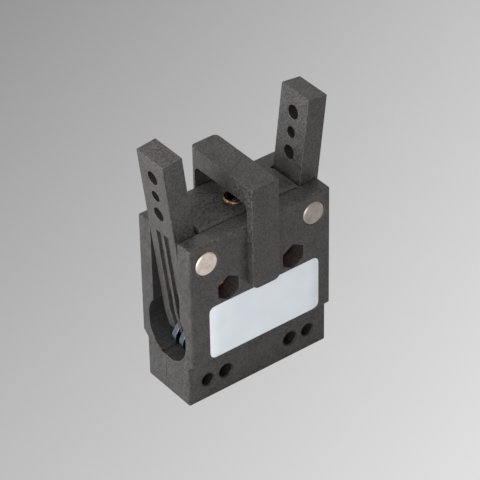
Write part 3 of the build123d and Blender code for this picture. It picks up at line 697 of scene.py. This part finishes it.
@dataclass
class MouldedBody(SubAssembly):
    """Both shells, the core block between them, the yoke and the label."""

    shell_edge: float = 0.14 * MM
    block_edge: float = 0.12 * MM
    joint_low: float = 0.4 * MM
    joint_high: float = 0.9 * MM
    body_half: float = 20.0 * MM
    body_top: float = 45.4 * MM
    channel_half: float = 5.1 * MM
    channel_floor: float = 10.0 * MM
    corner_start: float = 2.4 * MM
    window_radius: float = 7.0 * MM
    window_depth: float = 6.0 * MM
    window_top: float = 26.0 * MM
    arc_points: int = 9
    base_half: float = 7.9 * MM
    hole_height: float = 5.4 * MM
    base_holes: tuple[tuple[float, float], ...] = ((14.6 * MM, 2.0 * MM), (9.4 * MM, 2.2 * MM))
    label_corner: float = 1.8 * MM
    label_edge: float = 0.05 * MM
    label_arc_steps: int = 12
    label_rings: tuple[float, ...] = (0.8, 0.4, 0.0)

    def build(self) -> None:
        """Makes and dresses the mouldings and the label."""
        # The patches for the holes and the channel are painted shade.
        patches = (Patch(BODY_NYLON, self.at_joint), Patch(HOLE_SHADE_NYLON, self.in_base_hole),
                   Patch(CHANNEL_SHADE_NYLON, self.in_channel))
        # The edge rounds carry the painted highlight.
        for node in ("front_shell", "rear_shell"):
            self.soften(node, BODY_NYLON, BODY_EDGE_HIGHLIGHT, self.shell_edge, patches)
        for node in ("core_block", "yoke"):
            self.soften(node, BODY_NYLON, BODY_EDGE_HIGHLIGHT, self.block_edge)
        self.build_window_corners()
        self.build_label()

    def at_joint(self, place: Vector) -> bool:
        """Whether a place lies on the rounds along the joint of the shells, which look dark."""
        return self.joint_low - self.shell_edge < place.y < self.joint_high + self.shell_edge

    def in_channel(self, place: Vector) -> bool:
        """Whether a place lies on the walls of the space for the jaws or of the side windows, where shade is
        painted dark.
        """
        between = self.channel_floor - MERGE < place.z < self.body_top - self.shell_edge
        shallow = abs(place.y) < self.channel_half + MERGE
        in_window = abs(place.y) < self.window_radius + MERGE and place.z < self.window_top
        at_end = abs(place.x) > self.body_half - self.shell_edge
        deep_enough = abs(place.x) > self.body_half - self.window_depth - MERGE
        return between and not at_end and (shallow or (in_window and deep_enough))

    def in_base_hole(self, place: Vector) -> bool:
        """Whether a place lies inside a mounting hole or on its mouth, where shade is painted dark."""
        inside = abs(place.y) < self.base_half - MERGE
        up = place.z - self.hole_height
        return inside and any(math.hypot(abs(place.x) - x, up) < radius for x, radius in self.base_holes)

    def build_window_corners(self) -> None:
        """Fills the lower corners of the channel in both windows, so that each window ends in one arc.

        Formula: the arc lies at the window's lower centre less the root of the squared radius less Y squared.
        A loop of the arc, the channel's wall and its floor is drawn out along X at both ends of the channel.
        """
        y = np.linspace(self.corner_start, self.channel_half, self.arc_points)
        arc = self.channel_floor + self.window_radius - np.sqrt(self.window_radius ** 2 - y ** 2)
        wall, floor = self.channel_half + self.shell_edge, self.channel_floor - self.shell_edge
        loop = np.array([*zip(y, arc), (wall, arc[-1]), (wall, floor), (self.corner_start, floor)])
        count = len(loop)
        corner = np.arange(count)
        after = np.roll(corner, -1)
        walls = np.stack([corner, after, after + count, corner + count], axis=1)
        prism = [corner, corner + count, *walls]
        inner = np.concatenate([[False, False], corner < self.arc_points - 1])
        along = np.repeat([self.body_half - self.window_depth, self.body_half], count)
        across, up = np.tile(loop, (2, 1)).T
        for node, y_side in (("front_shell", -1), ("rear_shell", 1)):
            points = np.concatenate([np.stack([side * along, y_side * across, up], axis=1)
                                     for side in SIDES.values()])
            faces = [(face + first).tolist() for first in (0, 2 * count) for face in prism]
            mesh = bpy.data.meshes.new(f"{node}_window_corners")
            mesh.from_pydata(points.tolist(), [], faces)
            mesh.materials.append(BODY_NYLON.material())
            mesh.materials.append(CHANNEL_SHADE_NYLON.material())
            # The faces of the arc get the channel's painted shade.
            mesh.polygons.foreach_set("material_index", np.tile(inner, 2).astype(int))
            work = bmesh.new()
            work.from_mesh(mesh)
            bmesh.ops.recalc_face_normals(work, faces=work.faces)
            work.to_mesh(mesh)
            work.free()
            corners = bpy.data.objects.new(f"{node}_window_corners", mesh)
            bpy.context.scene.collection.objects.link(corners)
            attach(corners, self.frame["nodes"][node]["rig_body"])

    def build_label(self) -> None:
        """Makes the label as rings of one rounded rectangle.

        Formula: a ring is the rounded rectangle times a share of its size, set at a depth; the first and the
        last ring shrink to the middle.
        """
        low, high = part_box("label")
        half = Vector(((high.x - low.x) / 2, (high.z - low.z) / 2))
        corners = np.array([(half.x, -half.y), (half.x, half.y), (-half.x, half.y), (-half.x, -half.y)])
        ring = rounded(corners, self.label_corner, True, self.label_arc_steps)
        thickness = high.y - low.y
        rings = [(0.0, 0.0), (1.0, 0.0), (1.0, thickness - self.label_edge)]
        inner = 1 - self.label_edge / half.y
        rings += [(share, thickness) for share in (inner, *self.label_rings)]
        shares, depths = np.array(rings).T
        points = np.empty((len(rings), len(ring), 3))
        points[..., :2] = shares[:, None, None] * ring
        points[..., 2] = depths[:, None]
        middle = Vector(((low.x + high.x) / 2, high.y, (low.z + high.z) / 2))
        sheet = Surface(points, shares).moved(Facing.FRONT, middle)
        self.place(mesh_from([sheet], "label"), "label_sheet", FILM, "label")


@dataclass
class ClampFasteners(SubAssembly):
    """The two nuts in their pockets and the two cap screws from the rear."""

    thread_pitch: float = 0.5 * MM
    thread_depth: float = 0.28 * MM
    screw_radius: float = 1.5 * MM
    nut_thread_share: float = 0.6
    bore_steps: int = 40
    face_chamfer: float = 0.35 * MM
    nut_rim: float = 2.5 * MM
    rim_width: float = 0.25 * MM
    rim_drop: float = 0.12 * MM
    head_height: float = 3.0 * MM
    head_chamfer: float = 0.3 * MM
    head_edge: float = 0.05 * MM
    foot_width: float = 0.15 * MM
    foot_rise: float = 0.12 * MM
    key_across_flats: float = 2.5 * MM
    key_depth: float = 1.5 * MM
    key_cone: float = 0.4 * MM
    key_mouth: float = 0.15 * MM
    key_top: float = 0.1 * MM
    key_tolerance: float = 0.02 * MM
    knurls: int = 36
    columns_per_knurl: int = 6
    knurl_rows: int = 6
    knurl_depth: float = 0.06 * MM
    knurl_above_seat: float = 0.2 * MM
    knurl_below_top: float = 0.45 * MM
    shank_rows: int = 150
    shank_end: float = 0.3 * MM
    shank_in_head: float = 0.1 * MM
    shank_edge: float = 0.02 * MM
    plain_past_middle: float = 1.0 * MM

    def build(self) -> None:
        """Makes and dresses the nuts and the screws."""
        nuts = mesh_from([self.nut(s) for s in SIDES.values()], "nuts")
        piece = self.place(nuts, "clamp_nuts_plated", NUT_COPPER, "clamp_nuts")
        middle = self.axis_point("clamp_nuts", 1.0)
        # The flanks outside the rim get the painted shade.
        self.paint(piece, (Patch(SHADED_COPPER, lambda place: self.outside_rim(place, middle)),))
        screws = [surface for s in SIDES.values() for surface in self.screw(s)]
        self.place(mesh_from(screws, "screws"), "clamp_screws_plated", SCREW_ZINC, "clamp_screws")

    def outside_rim(self, place: Vector, middle: Vector) -> bool:
        """Whether a place lies on a nut's flanks, outside the rim of its face, whose centre is middle; the
        flanks get painted shade for their pocket.
        """
        return math.hypot(abs(place.x) - middle.x, place.z - middle.z) > self.nut_rim

    def axis_point(self, node: str, side: float) -> Vector:
        """Centre of one of the two fasteners of a node, at the middle of its length."""
        low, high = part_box(node)
        middle = (low + high) / 2
        half_piece = (high.z - low.z) / 2 * (FLATS_TO_CORNERS if node == "clamp_nuts" else 1.0)
        return Vector((side * ((high.x - low.x) / 2 - half_piece), middle.y, middle.z))

    def thread(self, angle: np.ndarray, height: np.ndarray) -> np.ndarray:
        """Relief of the thread that the nuts and the screws share."""
        return threaded(angle, height, self.thread_pitch, self.thread_depth)

    def nut(self, side: float) -> Surface:
        """A nut with a threaded bore, a chamfered mouth at both ends and a narrow rim on the seen face."""
        low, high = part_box("clamp_nuts")
        across, half = (high.z - low.z) * FLATS_TO_CORNERS, (high.y - low.y) / 2
        rows = np.linspace(self.face_chamfer - half, half - self.face_chamfer, self.bore_steps)[:, None]
        angle = full_turn(HEXAGON_COLUMNS)
        bore = self.screw_radius + self.nut_thread_share * self.thread(angle, rows)
        mouth = (self.screw_radius + self.face_chamfer) * np.ones_like(angle)
        face = (self.nut_rim - self.rim_width) * np.ones_like(angle)
        nut = hexagon_nut(across, (-half, half), self.nut_rim, np.vstack([mouth, bore, mouth, face]),
                          np.vstack([[[-half]], rows, [[half], [half]]]), self.rim_drop)
        return nut.moved(Facing.FRONT, self.axis_point("clamp_nuts", side))

    def screw(self, side: float) -> list[Surface]:
        """A cap screw: a knurled head with a hexagon socket, and a threaded shank; its top is at height 0."""
        low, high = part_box("clamp_screws")
        length = high.y - low.y
        head, seat = self.head((high.z - low.z) / 2), -self.head_height
        rows = np.linspace(seat + self.shank_end, self.shank_end - length, self.shank_rows)
        shank = lathe([(0.0, seat + self.shank_in_head), *((self.screw_radius, float(z)) for z in rows),
                       (self.screw_radius - self.shank_end, -length), (0.0, -length)], edge=self.shank_edge,
                      columns=SMALL_COLUMNS, relief=self.shank_thread(-length / 2 - self.plain_past_middle))
        origin = Vector((self.axis_point("clamp_screws", side).x, high.y, (low.z + high.z) / 2))
        return [head.moved(Facing.REAR, origin), shank.moved(Facing.REAR, origin)]

    def head(self, radius: float) -> Surface:
        """The head: a knurled round with a hexagon socket.

        Formula: the knurl is the absolute sine of half the angle times the number of knurls. The socket is
        turned round first, and its wall's radius is then the hexagon's at each angle.

        Args:
            radius: the head's radius.

        Returns:
            The surface, with its top at height 0.
        """
        seat, socket = -self.head_height, self.key_across_flats / 2
        knurl_low, knurl_high = seat + self.knurl_above_seat, -self.knurl_below_top

        def knurl(angle: np.ndarray, height: np.ndarray) -> np.ndarray:
            """Relief of the knurl between its two ends."""
            inside = (height > knurl_low) & (height < knurl_high)
            return np.where(inside, -self.knurl_depth * np.abs(np.sin(self.knurls * angle / 2)), 0.0)

        outer = [(radius, float(z)) for z in np.linspace(knurl_low, knurl_high, self.knurl_rows)]
        head = lathe([(0.0, seat), (radius - self.foot_width, seat), (radius, seat + self.foot_rise), *outer,
                      (radius, -self.head_chamfer), (radius - self.head_chamfer, 0.0),
                      (socket + self.head_chamfer, 0.0), (socket, -self.key_mouth), (socket, -self.key_depth),
                      (0.0, -self.key_depth - self.key_cone)],
                     edge=self.head_edge, columns=self.columns_per_knurl * self.knurls, relief=knurl)
        x, y, z = np.moveaxis(head.points, -1, 0)
        on_wall = (z < -self.key_top) & (np.abs(np.hypot(x, y) - socket) < self.key_tolerance)
        share = np.where(on_wall, hexagonal(self.key_across_flats, np.arctan2(y, x)) / socket, 1.0)
        head.points[..., :2] *= share[..., None]
        return head

    def shank_thread(self, thread_start: float) -> Relief:
        """Gives the relief of a shank whose thread begins below thread_start."""
        def relief(angle: np.ndarray, height: np.ndarray) -> np.ndarray:
            """Relief of the thread below its start."""
            return np.where(height < thread_start, self.thread(angle, height), 0.0)
        return relief


@dataclass
class JawUnit(SubAssembly):
    """One jaw with its pivot pin, its cross pin and its pair of cam plates."""

    side: str = "left"
    jaw_edge: float = 0.12 * MM
    plate_edge: float = 0.08 * MM
    pin_chamfer: float = 0.3 * MM
    pin_dish: float = 0.06 * MM
    pin_edge: float = 0.06 * MM
    lean: float = math.radians(7)
    inner: float = 1.0 * MM
    outer: float = 4.4 * MM
    holes: tuple[float, ...] = (22.0 * MM, 16.75 * MM, 11.5 * MM)
    hole_reach: float = 1.8 * MM

    def build(self) -> None:
        """Makes and dresses the jaw's pieces."""
        pivot = self.centre(f"{self.side}_pivot_pin")
        # The jaw's holes get painted shade.
        hole = Patch(HOLE_SHADE_NYLON, lambda place: self.in_jaw_hole(place, pivot))
        # The jaw's edge rounds carry a painted highlight.
        self.soften(f"{self.side}_jaw", JAW_NYLON, JAW_EDGE_HIGHLIGHT, self.jaw_edge, (hole,))
        # The cam plates get the darkened steel, painted shade for their place inside the jaw.
        self.soften(f"{self.side}_cam_plates", DARKENED_PLATE_STEEL, DARKENED_PLATE_STEEL, self.plate_edge)
        # The left pivot pin gets the lighter, painted-light copy of the pin steel.
        self.pin(f"{self.side}_pivot_pin", LIT_PIN_STEEL if self.side == "left" else PIN_STEEL, self.pin_chamfer)
        self.pin(f"{self.side}_cam_pin", PIN_STEEL, self.pin_chamfer / 2)

    def in_jaw_hole(self, place: Vector, pivot: Vector) -> bool:
        """Whether a place lies inside one of the three holes of the jaw, where shade is painted dark.

        Formula: the place is turned back by the open angle about the pivot, into across and along the jaw.
        """
        right, up = abs(place.x) - abs(pivot.x), place.z - pivot.z
        across = right * math.cos(self.lean) - up * math.sin(self.lean)
        along = right * math.sin(self.lean) + up * math.cos(self.lean)
        inside = -self.inner + self.jaw_edge < across < self.outer - self.jaw_edge
        return inside and any(math.hypot(place.y, along - height) < self.hole_reach for height in self.holes)

    def pin(self, node: str, finish: Finish, chamfer: float) -> None:
        """Makes a pin along Y.

        Args:
            node: the frame's node.
            finish: its finish.
            chamfer: the chamfer at both ends.
        """
        low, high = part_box(node)
        pin = turned_pin((high.x - low.x) / 2, (high.y - low.y) / 2, chamfer, self.pin_dish, self.pin_edge)
        turned = pin.moved(Facing.FRONT, self.centre(node))
        self.place(mesh_from([turned], node), f"{node}_turned", finish, node)


@dataclass
class Cylinder(SubAssembly):
    """Liner, end cap with the air port, retaining ring, gland, piston and their seals and nut."""

    bore: float = 5.5 * MM
    clip_groove: float = 0.4 * MM
    flange_low: float = 8.0 * MM
    flange_height: float = 1.5 * MM
    flange_width: float = 0.8 * MM
    port: float = 2.5 * MM
    port_mouth: float = 0.4 * MM
    port_rows: int = 44
    port_pitch: float = 0.8 * MM
    port_depth: float = 0.4 * MM
    ring_groove: float = 1.1 * MM
    ring_cord: float = 0.95 * MM
    clip_width: float = 1.4 * MM
    clip_gap: float = math.radians(36)
    clip_edge: float = 0.15 * MM
    clip_steps: int = 160
    gland_mouth: float = 0.3 * MM
    gland_clearance: float = 0.01 * MM
    rod: float = 2.0 * MM
    rod_clearance: float = 0.03 * MM
    stem: float = 1.5 * MM
    stem_clearance: float = 0.01 * MM
    recess_clearance: float = 0.05 * MM
    nut_rim_share: float = 0.96
    cord_steps: int = 24

    def build(self) -> None:
        """Makes and dresses the cylinder's pieces."""
        self.build_liner()
        self.build_cap()
        self.build_clip()
        self.build_gland()
        self.build_piston()
        for node in ("end_cap_seal", "piston_seal"):
            self.build_seal(node)

    def ring(self, node: str, finish: Finish, corners: list[tuple[float, float]]) -> None:
        """Turns a closed profile about the centre line and shows it in place of a node."""
        self.place(mesh_from([lathe(corners, closed=True)], node), f"{node}_turned", finish, node)

    def seal_groove(self, middle: float) -> tuple[float, float, float]:
        """Gives the lower and upper edge and the radius of a ring groove round a height."""
        return middle - self.ring_groove / 2, middle + self.ring_groove / 2, self.bore - self.ring_cord

    def build_liner(self) -> None:
        """The liner: a tube with a locating flange and the ring's groove near its foot."""
        low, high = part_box("cylinder_liner")
        flange = high.x
        wall = flange - self.flange_width
        clip_low, clip_high = (corner.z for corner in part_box("retaining_ring"))
        groove = self.bore + self.clip_groove
        flange_top = self.flange_low + self.flange_height
        self.ring("cylinder_liner", LINER_METAL, [
            (self.bore, low.z), (wall, low.z), (wall, self.flange_low), (flange, self.flange_low),
            (flange, flange_top), (wall, flange_top), (wall, high.z), (self.bore, high.z),
            (self.bore, clip_high), (groove, clip_high), (groove, clip_low), (self.bore, clip_low)])

    def build_cap(self) -> None:
        """The end cap: a plug with a ring groove outside and a thread in its port."""
        low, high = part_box("end_cap")
        groove_low, groove_high, groove = self.seal_groove((low.z + high.z) / 2)
        mouth = self.port + self.port_mouth
        outside = rounded(np.array([
            (mouth, low.z), (high.x, low.z), (high.x, groove_low), (groove, groove_low),
            (groove, groove_high), (high.x, groove_high), (high.x, high.z), (mouth, high.z)]),
            TURNED_EDGE, False)
        rows = np.linspace(high.z - self.port_mouth, low.z + self.port_mouth, self.port_rows)[:, None]
        profile = np.vstack([outside, np.hstack([np.full_like(rows, self.port), rows])])
        angle = full_turn(ROUND_COLUMNS)
        port = self.port + threaded(angle, rows, self.port_pitch, self.port_depth)
        radius = np.vstack([outside[:, :1] * np.ones_like(angle), port])
        cap = Surface(round_grid(radius, angle, profile[:, 1:]), path_length(profile), True)
        self.place(mesh_from([cap], "end_cap"), "end_cap_turned", CAP_BRASS, "end_cap")

    def build_clip(self) -> None:
        """The retaining ring: a flat wire bent round the bore, with rounded ends at the front gap.

        Formula: a rounded rectangle is carried round an arc; near each end its width shrinks with the square
        root of one less the squared share of the end's reach, which rounds the end.
        """
        low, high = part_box("retaining_ring")
        outer, thickness = high.x, high.z - low.z
        middle = outer - self.clip_width / 2
        angle = np.linspace(self.clip_gap / 2, FULL_TURN - self.clip_gap / 2, self.clip_steps) - math.pi / 2
        reach = self.clip_width / 2 / middle
        past = np.clip(1 - np.minimum(angle - angle[0], angle[-1] - angle) / reach, 0, 1)
        width = self.clip_width * np.sqrt(np.maximum(1 - past ** 2, 0))
        half_width, half_height = self.clip_width / 2, thickness / 2
        corners = [(half_width, -half_height), (half_width, half_height), (-half_width, half_height),
                   (-half_width, -half_height)]
        section = rounded(np.array(corners), self.clip_edge, True)
        radius = middle + section[None, :, 0] * (width / self.clip_width)[:, None]
        height = section[None, :, 1] + (low.z + high.z) / 2
        clip = Surface(round_grid(radius, angle[:, None], height), angle * middle)
        self.place(mesh_from([clip], "retaining_ring"), "retaining_ring_formed", CLIP_STEEL, "retaining_ring")

    def build_gland(self) -> None:
        """The gland: a flanged bush with chamfered mouths for the rod."""
        low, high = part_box("rod_gland")
        inner, flange = self.bore - self.gland_clearance, high.x
        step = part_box("cylinder_liner")[1].z
        mouth, hole = self.gland_mouth, self.rod + self.rod_clearance
        self.ring("rod_gland", BRONZE, [
            (hole + mouth, low.z), (inner, low.z), (inner, step), (flange, step), (flange, high.z),
            (hole + mouth, high.z), (hole, high.z - mouth), (hole, low.z + mouth)])

    def build_piston(self) -> None:
        """The piston with its ring groove and nut recess, and the thin nut inside it."""
        low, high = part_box("piston")
        groove_low, groove_high, groove = self.seal_groove(self.centre("piston_seal").z)
        nut_low, nut_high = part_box("piston_nut")
        recess, outer = nut_high.y + self.recess_clearance, high.x
        self.ring("piston", PISTON_METAL, [
            (recess, low.z), (outer, low.z), (outer, groove_low), (groove, groove_low), (groove, groove_high),
            (outer, groove_high), (outer, high.z), (self.stem, high.z), (self.stem, nut_high.z),
            (recess, nut_high.z)])
        across = nut_high.x - nut_low.x
        bore = np.full((2, 1), self.stem + self.stem_clearance)
        nut = hexagon_nut(across, (nut_low.z, nut_high.z), across / 2 * self.nut_rim_share, bore,
                          np.array([[nut_low.z], [nut_high.z]]))
        self.place(mesh_from([nut], "piston_nut"), "piston_nut_plated", SCREW_ZINC, "piston_nut")

    def build_seal(self, node: str) -> None:
        """A sealing ring: a circle of the cord's radius carried round the bore."""
        low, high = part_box(node)
        cord = (high.z - low.z) / 2
        turn = full_turn(self.cord_steps).T
        radius, height = high.x - cord + cord * np.cos(turn), (low.z + high.z) / 2 + cord * np.sin(turn)
        ring = Surface(round_grid(radius, full_turn(ROUND_COLUMNS), height), turn[:, 0] * cord, True)
        self.place(mesh_from([ring], node), f"{node}_ring", RUBBER, node)


@dataclass
class Drive(SubAssembly):
    """Piston rod, crosshead hub with its pins, upper bush, spring seat and return spring."""

    spigot: float = 1.5 * MM
    shoulder: float = 2.0 * MM
    neck: float = 1.7 * MM
    rod_chamfer: float = 0.3 * MM
    bush_clearance: float = 0.03 * MM
    bush_chamfer: float = 0.3 * MM
    bush_edge: float = 0.06 * MM
    seat_clearance: float = 0.01 * MM
    wire: float = 0.8 * MM
    turns: float = 7.0
    closed_turns: float = 0.75
    easing_turns: float = 0.5
    closed_rise: float = 0.35
    ground_share: float = 0.4
    coil_steps: int = 420
    wire_steps: int = 16
    hub_edge: float = 0.12 * MM
    pin_radius: float = 0.75 * MM
    pin_chamfer: float = 0.2 * MM
    pin_edge: float = 0.04 * MM

    def build(self) -> None:
        """Makes and dresses the drive's pieces."""
        self.build_rod()
        self.soften("cam_hub", HUB_METAL, HUB_METAL, self.hub_edge)
        self.build_hub_pins()
        self.build_bush()
        self.build_seat()
        self.build_spring()

    def build_rod(self) -> None:
        """The stepped rod, from its spigot in the piston to its neck in the bush."""
        low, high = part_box("piston_rod")
        piston_top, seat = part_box("piston")[1].z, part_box("spring_seat")[0].z
        chamfer = self.rod_chamfer
        rod = lathe([
            (0.0, low.z), (self.spigot - chamfer, low.z), (self.spigot, low.z + chamfer),
            (self.spigot, piston_top), (self.shoulder, piston_top), (self.shoulder, seat), (self.neck, seat),
            (self.neck, high.z - chamfer), (self.neck - chamfer, high.z), (0.0, high.z)])
        self.place(mesh_from([rod], "piston_rod"), "piston_rod_ground", ROD_STEEL, "piston_rod")

    def build_hub_pins(self) -> None:
        """The three short pins along Y, one on the centre line and one at each end of the row."""
        low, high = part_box("hub_pins")
        middle = self.centre("hub_pins")
        pin = turned_pin(self.pin_radius, (high.y - low.y) / 2, self.pin_chamfer, edge=self.pin_edge,
                         columns=SMALL_COLUMNS)
        pins = [pin.moved(Facing.FRONT, Vector((x, middle.y, middle.z)))
                for x in (low.x + self.pin_radius, middle.x, high.x - self.pin_radius)]
        self.place(mesh_from(pins, "hub_pins"), "hub_pins_turned", PIN_STEEL, "hub_pins")

    def build_bush(self) -> None:
        """The upper bush, chamfered inside and out at its proud rim; its face and bore inside the rim are
        painted dark as shade.
        """
        low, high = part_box("rod_bush")
        outer, inner, chamfer = high.x, self.neck + self.bush_clearance, self.bush_chamfer
        bush = lathe([(inner, low.z), (outer, low.z), (outer, high.z - chamfer), (outer - chamfer, high.z),
                      (inner + chamfer / 2, high.z), (inner, high.z - chamfer / 2)], self.bush_edge, True)
        piece = self.place(mesh_from([bush], "rod_bush"), "rod_bush_turned", BRONZE, "rod_bush")
        rim = outer - chamfer
        # Inside the rim the bush gets painted shade.
        self.paint(piece, (Patch(SHADED_BRONZE, lambda place: math.hypot(place.x, place.y) < rim),))

    def build_seat(self) -> None:
        """The washer that carries the spring."""
        low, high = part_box("spring_seat")
        inner = self.neck + self.seat_clearance
        seat = lathe([(inner, low.z), (high.x, low.z), (high.x, high.z), (inner, high.z)], closed=True)
        self.place(mesh_from([seat], "spring_seat"), "spring_seat_turned", BRONZE, "spring_seat")

    def build_spring(self) -> None:
        """The return spring, whose end turns lie flat and are ground.

        Formula: the wire's centre goes round at a fixed radius. Its rise per turn is one wire at the ends and
        even between them, and its height is the running sum of that rise, scaled to the spring's length. A
        circle is carried along it in the plane of the radius and Z, and what passes the ends is ground off.
        """
        low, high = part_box("return_spring")
        half_wire = self.wire / 2
        radius, length = high.x - half_wire, high.z - low.z
        angle = np.linspace(0, FULL_TURN * self.turns, self.coil_steps)
        turn = angle / FULL_TURN
        from_end = np.minimum(turn, self.turns - turn)
        open_share = np.clip((from_end - self.closed_turns) / self.easing_turns, 0, 1)
        rise = self.closed_rise + (1 - self.closed_rise) * open_share
        climb = np.concatenate([[0.0], np.cumsum((rise[1:] + rise[:-1]) / 2)])
        left_on = self.ground_share * half_wire
        height = low.z + left_on + climb / climb[-1] * (length - 2 * left_on)
        section = full_turn(self.wire_steps)
        level = np.clip(height[:, None] + half_wire * np.sin(section), low.z, high.z)
        points = round_grid(radius + half_wire * np.cos(section), angle[:, None], level)
        first, last = points[:1].mean(axis=1, keepdims=True), points[-1:].mean(axis=1, keepdims=True)
        caps = [np.repeat(cap, self.wire_steps, axis=1) for cap in (first, last)]
        along = np.arange(self.coil_steps + 2) * radius * angle[1]
        coil = mesh_from([Surface(np.concatenate([caps[0], points, caps[1]]), along)], "return_spring")
        piece = self.place(coil, "return_spring_wound", SPRING_COPPER, "return_spring")
        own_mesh(piece)


@dataclass
class Studio:
    """The pale floor, the soft lamps, the world and the camera."""

    floor_half: float = 1.6
    floor_colour: str = "#c3c3c2"
    backdrop_level: float = 0.779
    backdrop_slope: tuple[float, float, float] = (0.57, -1.31, 0.0)
    backdrop_darkest: float = 0.58
    backdrop_palest: float = 0.89
    display_power: float = 2.2
    ambient: float = 0.43
    lens: float = 207.0
    sensor: float = 36.0
    azimuth: float = math.radians(-36.93)
    elevation: float = math.radians(36.88)
    roll: float = math.radians(-1.14)
    distance: float = 650.0 * MM
    sideways: float = 0.52 * MM
    upwards: float = 27.24 * MM
    lamps: tuple[tuple[str, tuple[float, float, float], float, float, float], ...] = (
        ("left softbox", (-0.90, 0.10, 0.42), 0.62, 0.42, 4.1),
        ("front softbox", (-0.75, -0.75, 0.30), 0.40, 0.26, 0.68),
        ("top softbox", (-0.10, 0.10, 0.98), 0.70, 0.50, 1.8),
    )

    def build(self) -> None:
        """Makes the floor, the lamps, the world and the camera."""
        self.build_floor()
        self.build_world()
        for lamp in self.lamps:
            self.build_lamp(*lamp)
        self.build_camera()

    def build_floor(self) -> None:
        """A plain pale floor; the camera sees an even grey gradient on it instead of shadows.

        Formula: the display grey is a level plus the dot product of the place with a slope per metre, and its
        light is that grey raised to the display's power.
        """
        mesh = bpy.data.meshes.new("floor")
        reach = self.floor_half
        corners = [(-reach, -reach, 0.0), (reach, -reach, 0.0), (reach, reach, 0.0), (-reach, reach, 0.0)]
        mesh.from_pydata(corners, [], [(0, 1, 2, 3)])
        material = bpy.data.materials.new("matt paint, pale grey")
        material.use_nodes = True
        tree = material.node_tree
        tree.nodes.clear()
        paint = add_node(tree, "ShaderNodeBsdfDiffuse", inputs={"Color": linear(self.floor_colour)})
        place = add_node(tree, "ShaderNodeTexCoord").outputs["Object"]
        along = add_node(tree, "ShaderNodeVectorMath", {"operation": "DOT_PRODUCT"}, {
            0: place, 1: self.backdrop_slope})
        grey = add_node(tree, "ShaderNodeMath", {"operation": "ADD"}, {
            0: along.outputs["Value"], 1: self.backdrop_level})
        held = add_node(tree, "ShaderNodeClamp", inputs={
            "Value": grey.outputs[0], "Min": self.backdrop_darkest, "Max": self.backdrop_palest})
        light = add_node(tree, "ShaderNodeMath", {"operation": "POWER"}, {
            0: held.outputs[0], 1: self.display_power})
        gradient = add_node(tree, "ShaderNodeEmission", inputs={"Strength": light.outputs[0]})
        seen = add_node(tree, "ShaderNodeLightPath").outputs["Is Camera Ray"]
        mixed = add_node(tree, "ShaderNodeMixShader", inputs={
            0: seen, 1: paint.outputs["BSDF"], 2: gradient.outputs["Emission"]})
        add_node(tree, "ShaderNodeOutputMaterial", inputs={"Surface": mixed.outputs[0]})
        mesh.materials.append(material)
        floor = bpy.data.objects.new("floor", mesh)
        bpy.context.scene.collection.objects.link(floor)

    def build_world(self) -> None:
        """Even light from all round; the camera and reflections see the floor's colour instead."""
        world = bpy.data.worlds.new("studio")
        bpy.context.scene.world = world
        world.use_nodes = True
        tree = world.node_tree
        tree.nodes.clear()
        path = add_node(tree, "ShaderNodeLightPath")
        seen = add_node(tree, "ShaderNodeMath", {"operation": "MAXIMUM"}, {
            0: path.outputs["Is Camera Ray"], 1: path.outputs["Is Glossy Ray"]})
        light = add_node(tree, "ShaderNodeBackground", inputs={
            "Color": (1, 1, 1, 1), "Strength": self.ambient})
        backdrop = add_node(tree, "ShaderNodeBackground", inputs={
            "Color": linear(self.floor_colour), "Strength": 1.0})
        mixed = add_node(tree, "ShaderNodeMixShader", inputs={
            0: seen.outputs[0], 1: light.outputs[0], 2: backdrop.outputs[0]})
        add_node(tree, "ShaderNodeOutputWorld", inputs={"Surface": mixed.outputs[0]})

    def build_lamp(self, name: str, direction: tuple[float, float, float], distance: float, size: float,
                   power: float) -> None:
        """A square softbox that faces the gripper's middle.

        Args:
            name: the lamp's name.
            direction: where it stands, seen from the gripper.
            distance: how far away it is.
            size: its side length.
            power: its power in watts.
        """
        data = bpy.data.lights.new(name, "AREA")
        data.shape = "SQUARE"
        data.size = size
        data.energy = power
        lamp = bpy.data.objects.new(name, data)
        bpy.context.scene.collection.objects.link(lamp)
        way = Vector(direction).normalized()
        aim = Vector((0.0, 0.0, self.upwards))
        lamp.location = aim + way * distance
        lamp.rotation_mode = "QUATERNION"
        lamp.rotation_quaternion = (-way).to_track_quat("-Z", "Y")

    def build_camera(self) -> None:
        """The camera, fitted to the object's corners: a long lens from the front left and above."""
        data = bpy.data.cameras.new("camera")
        data.lens = self.lens
        data.sensor_width = self.sensor
        camera = bpy.data.objects.new("camera", data)
        bpy.context.scene.collection.objects.link(camera)
        a, e = self.azimuth, self.elevation
        back = Vector((math.sin(a) * math.cos(e), -math.cos(a) * math.cos(e), math.sin(e)))
        right = Vector((math.cos(a), math.sin(a), 0.0))
        up = back.cross(right)
        turned_right = right * math.cos(self.roll) + up * math.sin(self.roll)
        turned_up = up * math.cos(self.roll) - right * math.sin(self.roll)
        place = turned_right * self.sideways + turned_up * self.upwards + back * self.distance
        matrix = Matrix((turned_right, turned_up, back)).transposed().to_4x4()
        matrix.translation = place
        camera.matrix_world = matrix
        bpy.context.scene.camera = camera


def main() -> None:
    """Loads the frame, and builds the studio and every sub-assembly."""
    logging.basicConfig(level=logging.INFO, format="%(message)s")
    for leftover in list(bpy.data.objects):
        bpy.data.objects.remove(leftover)
    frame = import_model()
    bpy.context.scene.view_settings.view_transform = "Standard"
    Studio().build()
    MouldedBody(frame).build()
    ClampFasteners(frame).build()
    for side in SIDES:
        JawUnit(frame, side).build()
    Cylinder(frame).build()
    Drive(frame).build()


if __name__ == "__main__":
    main()
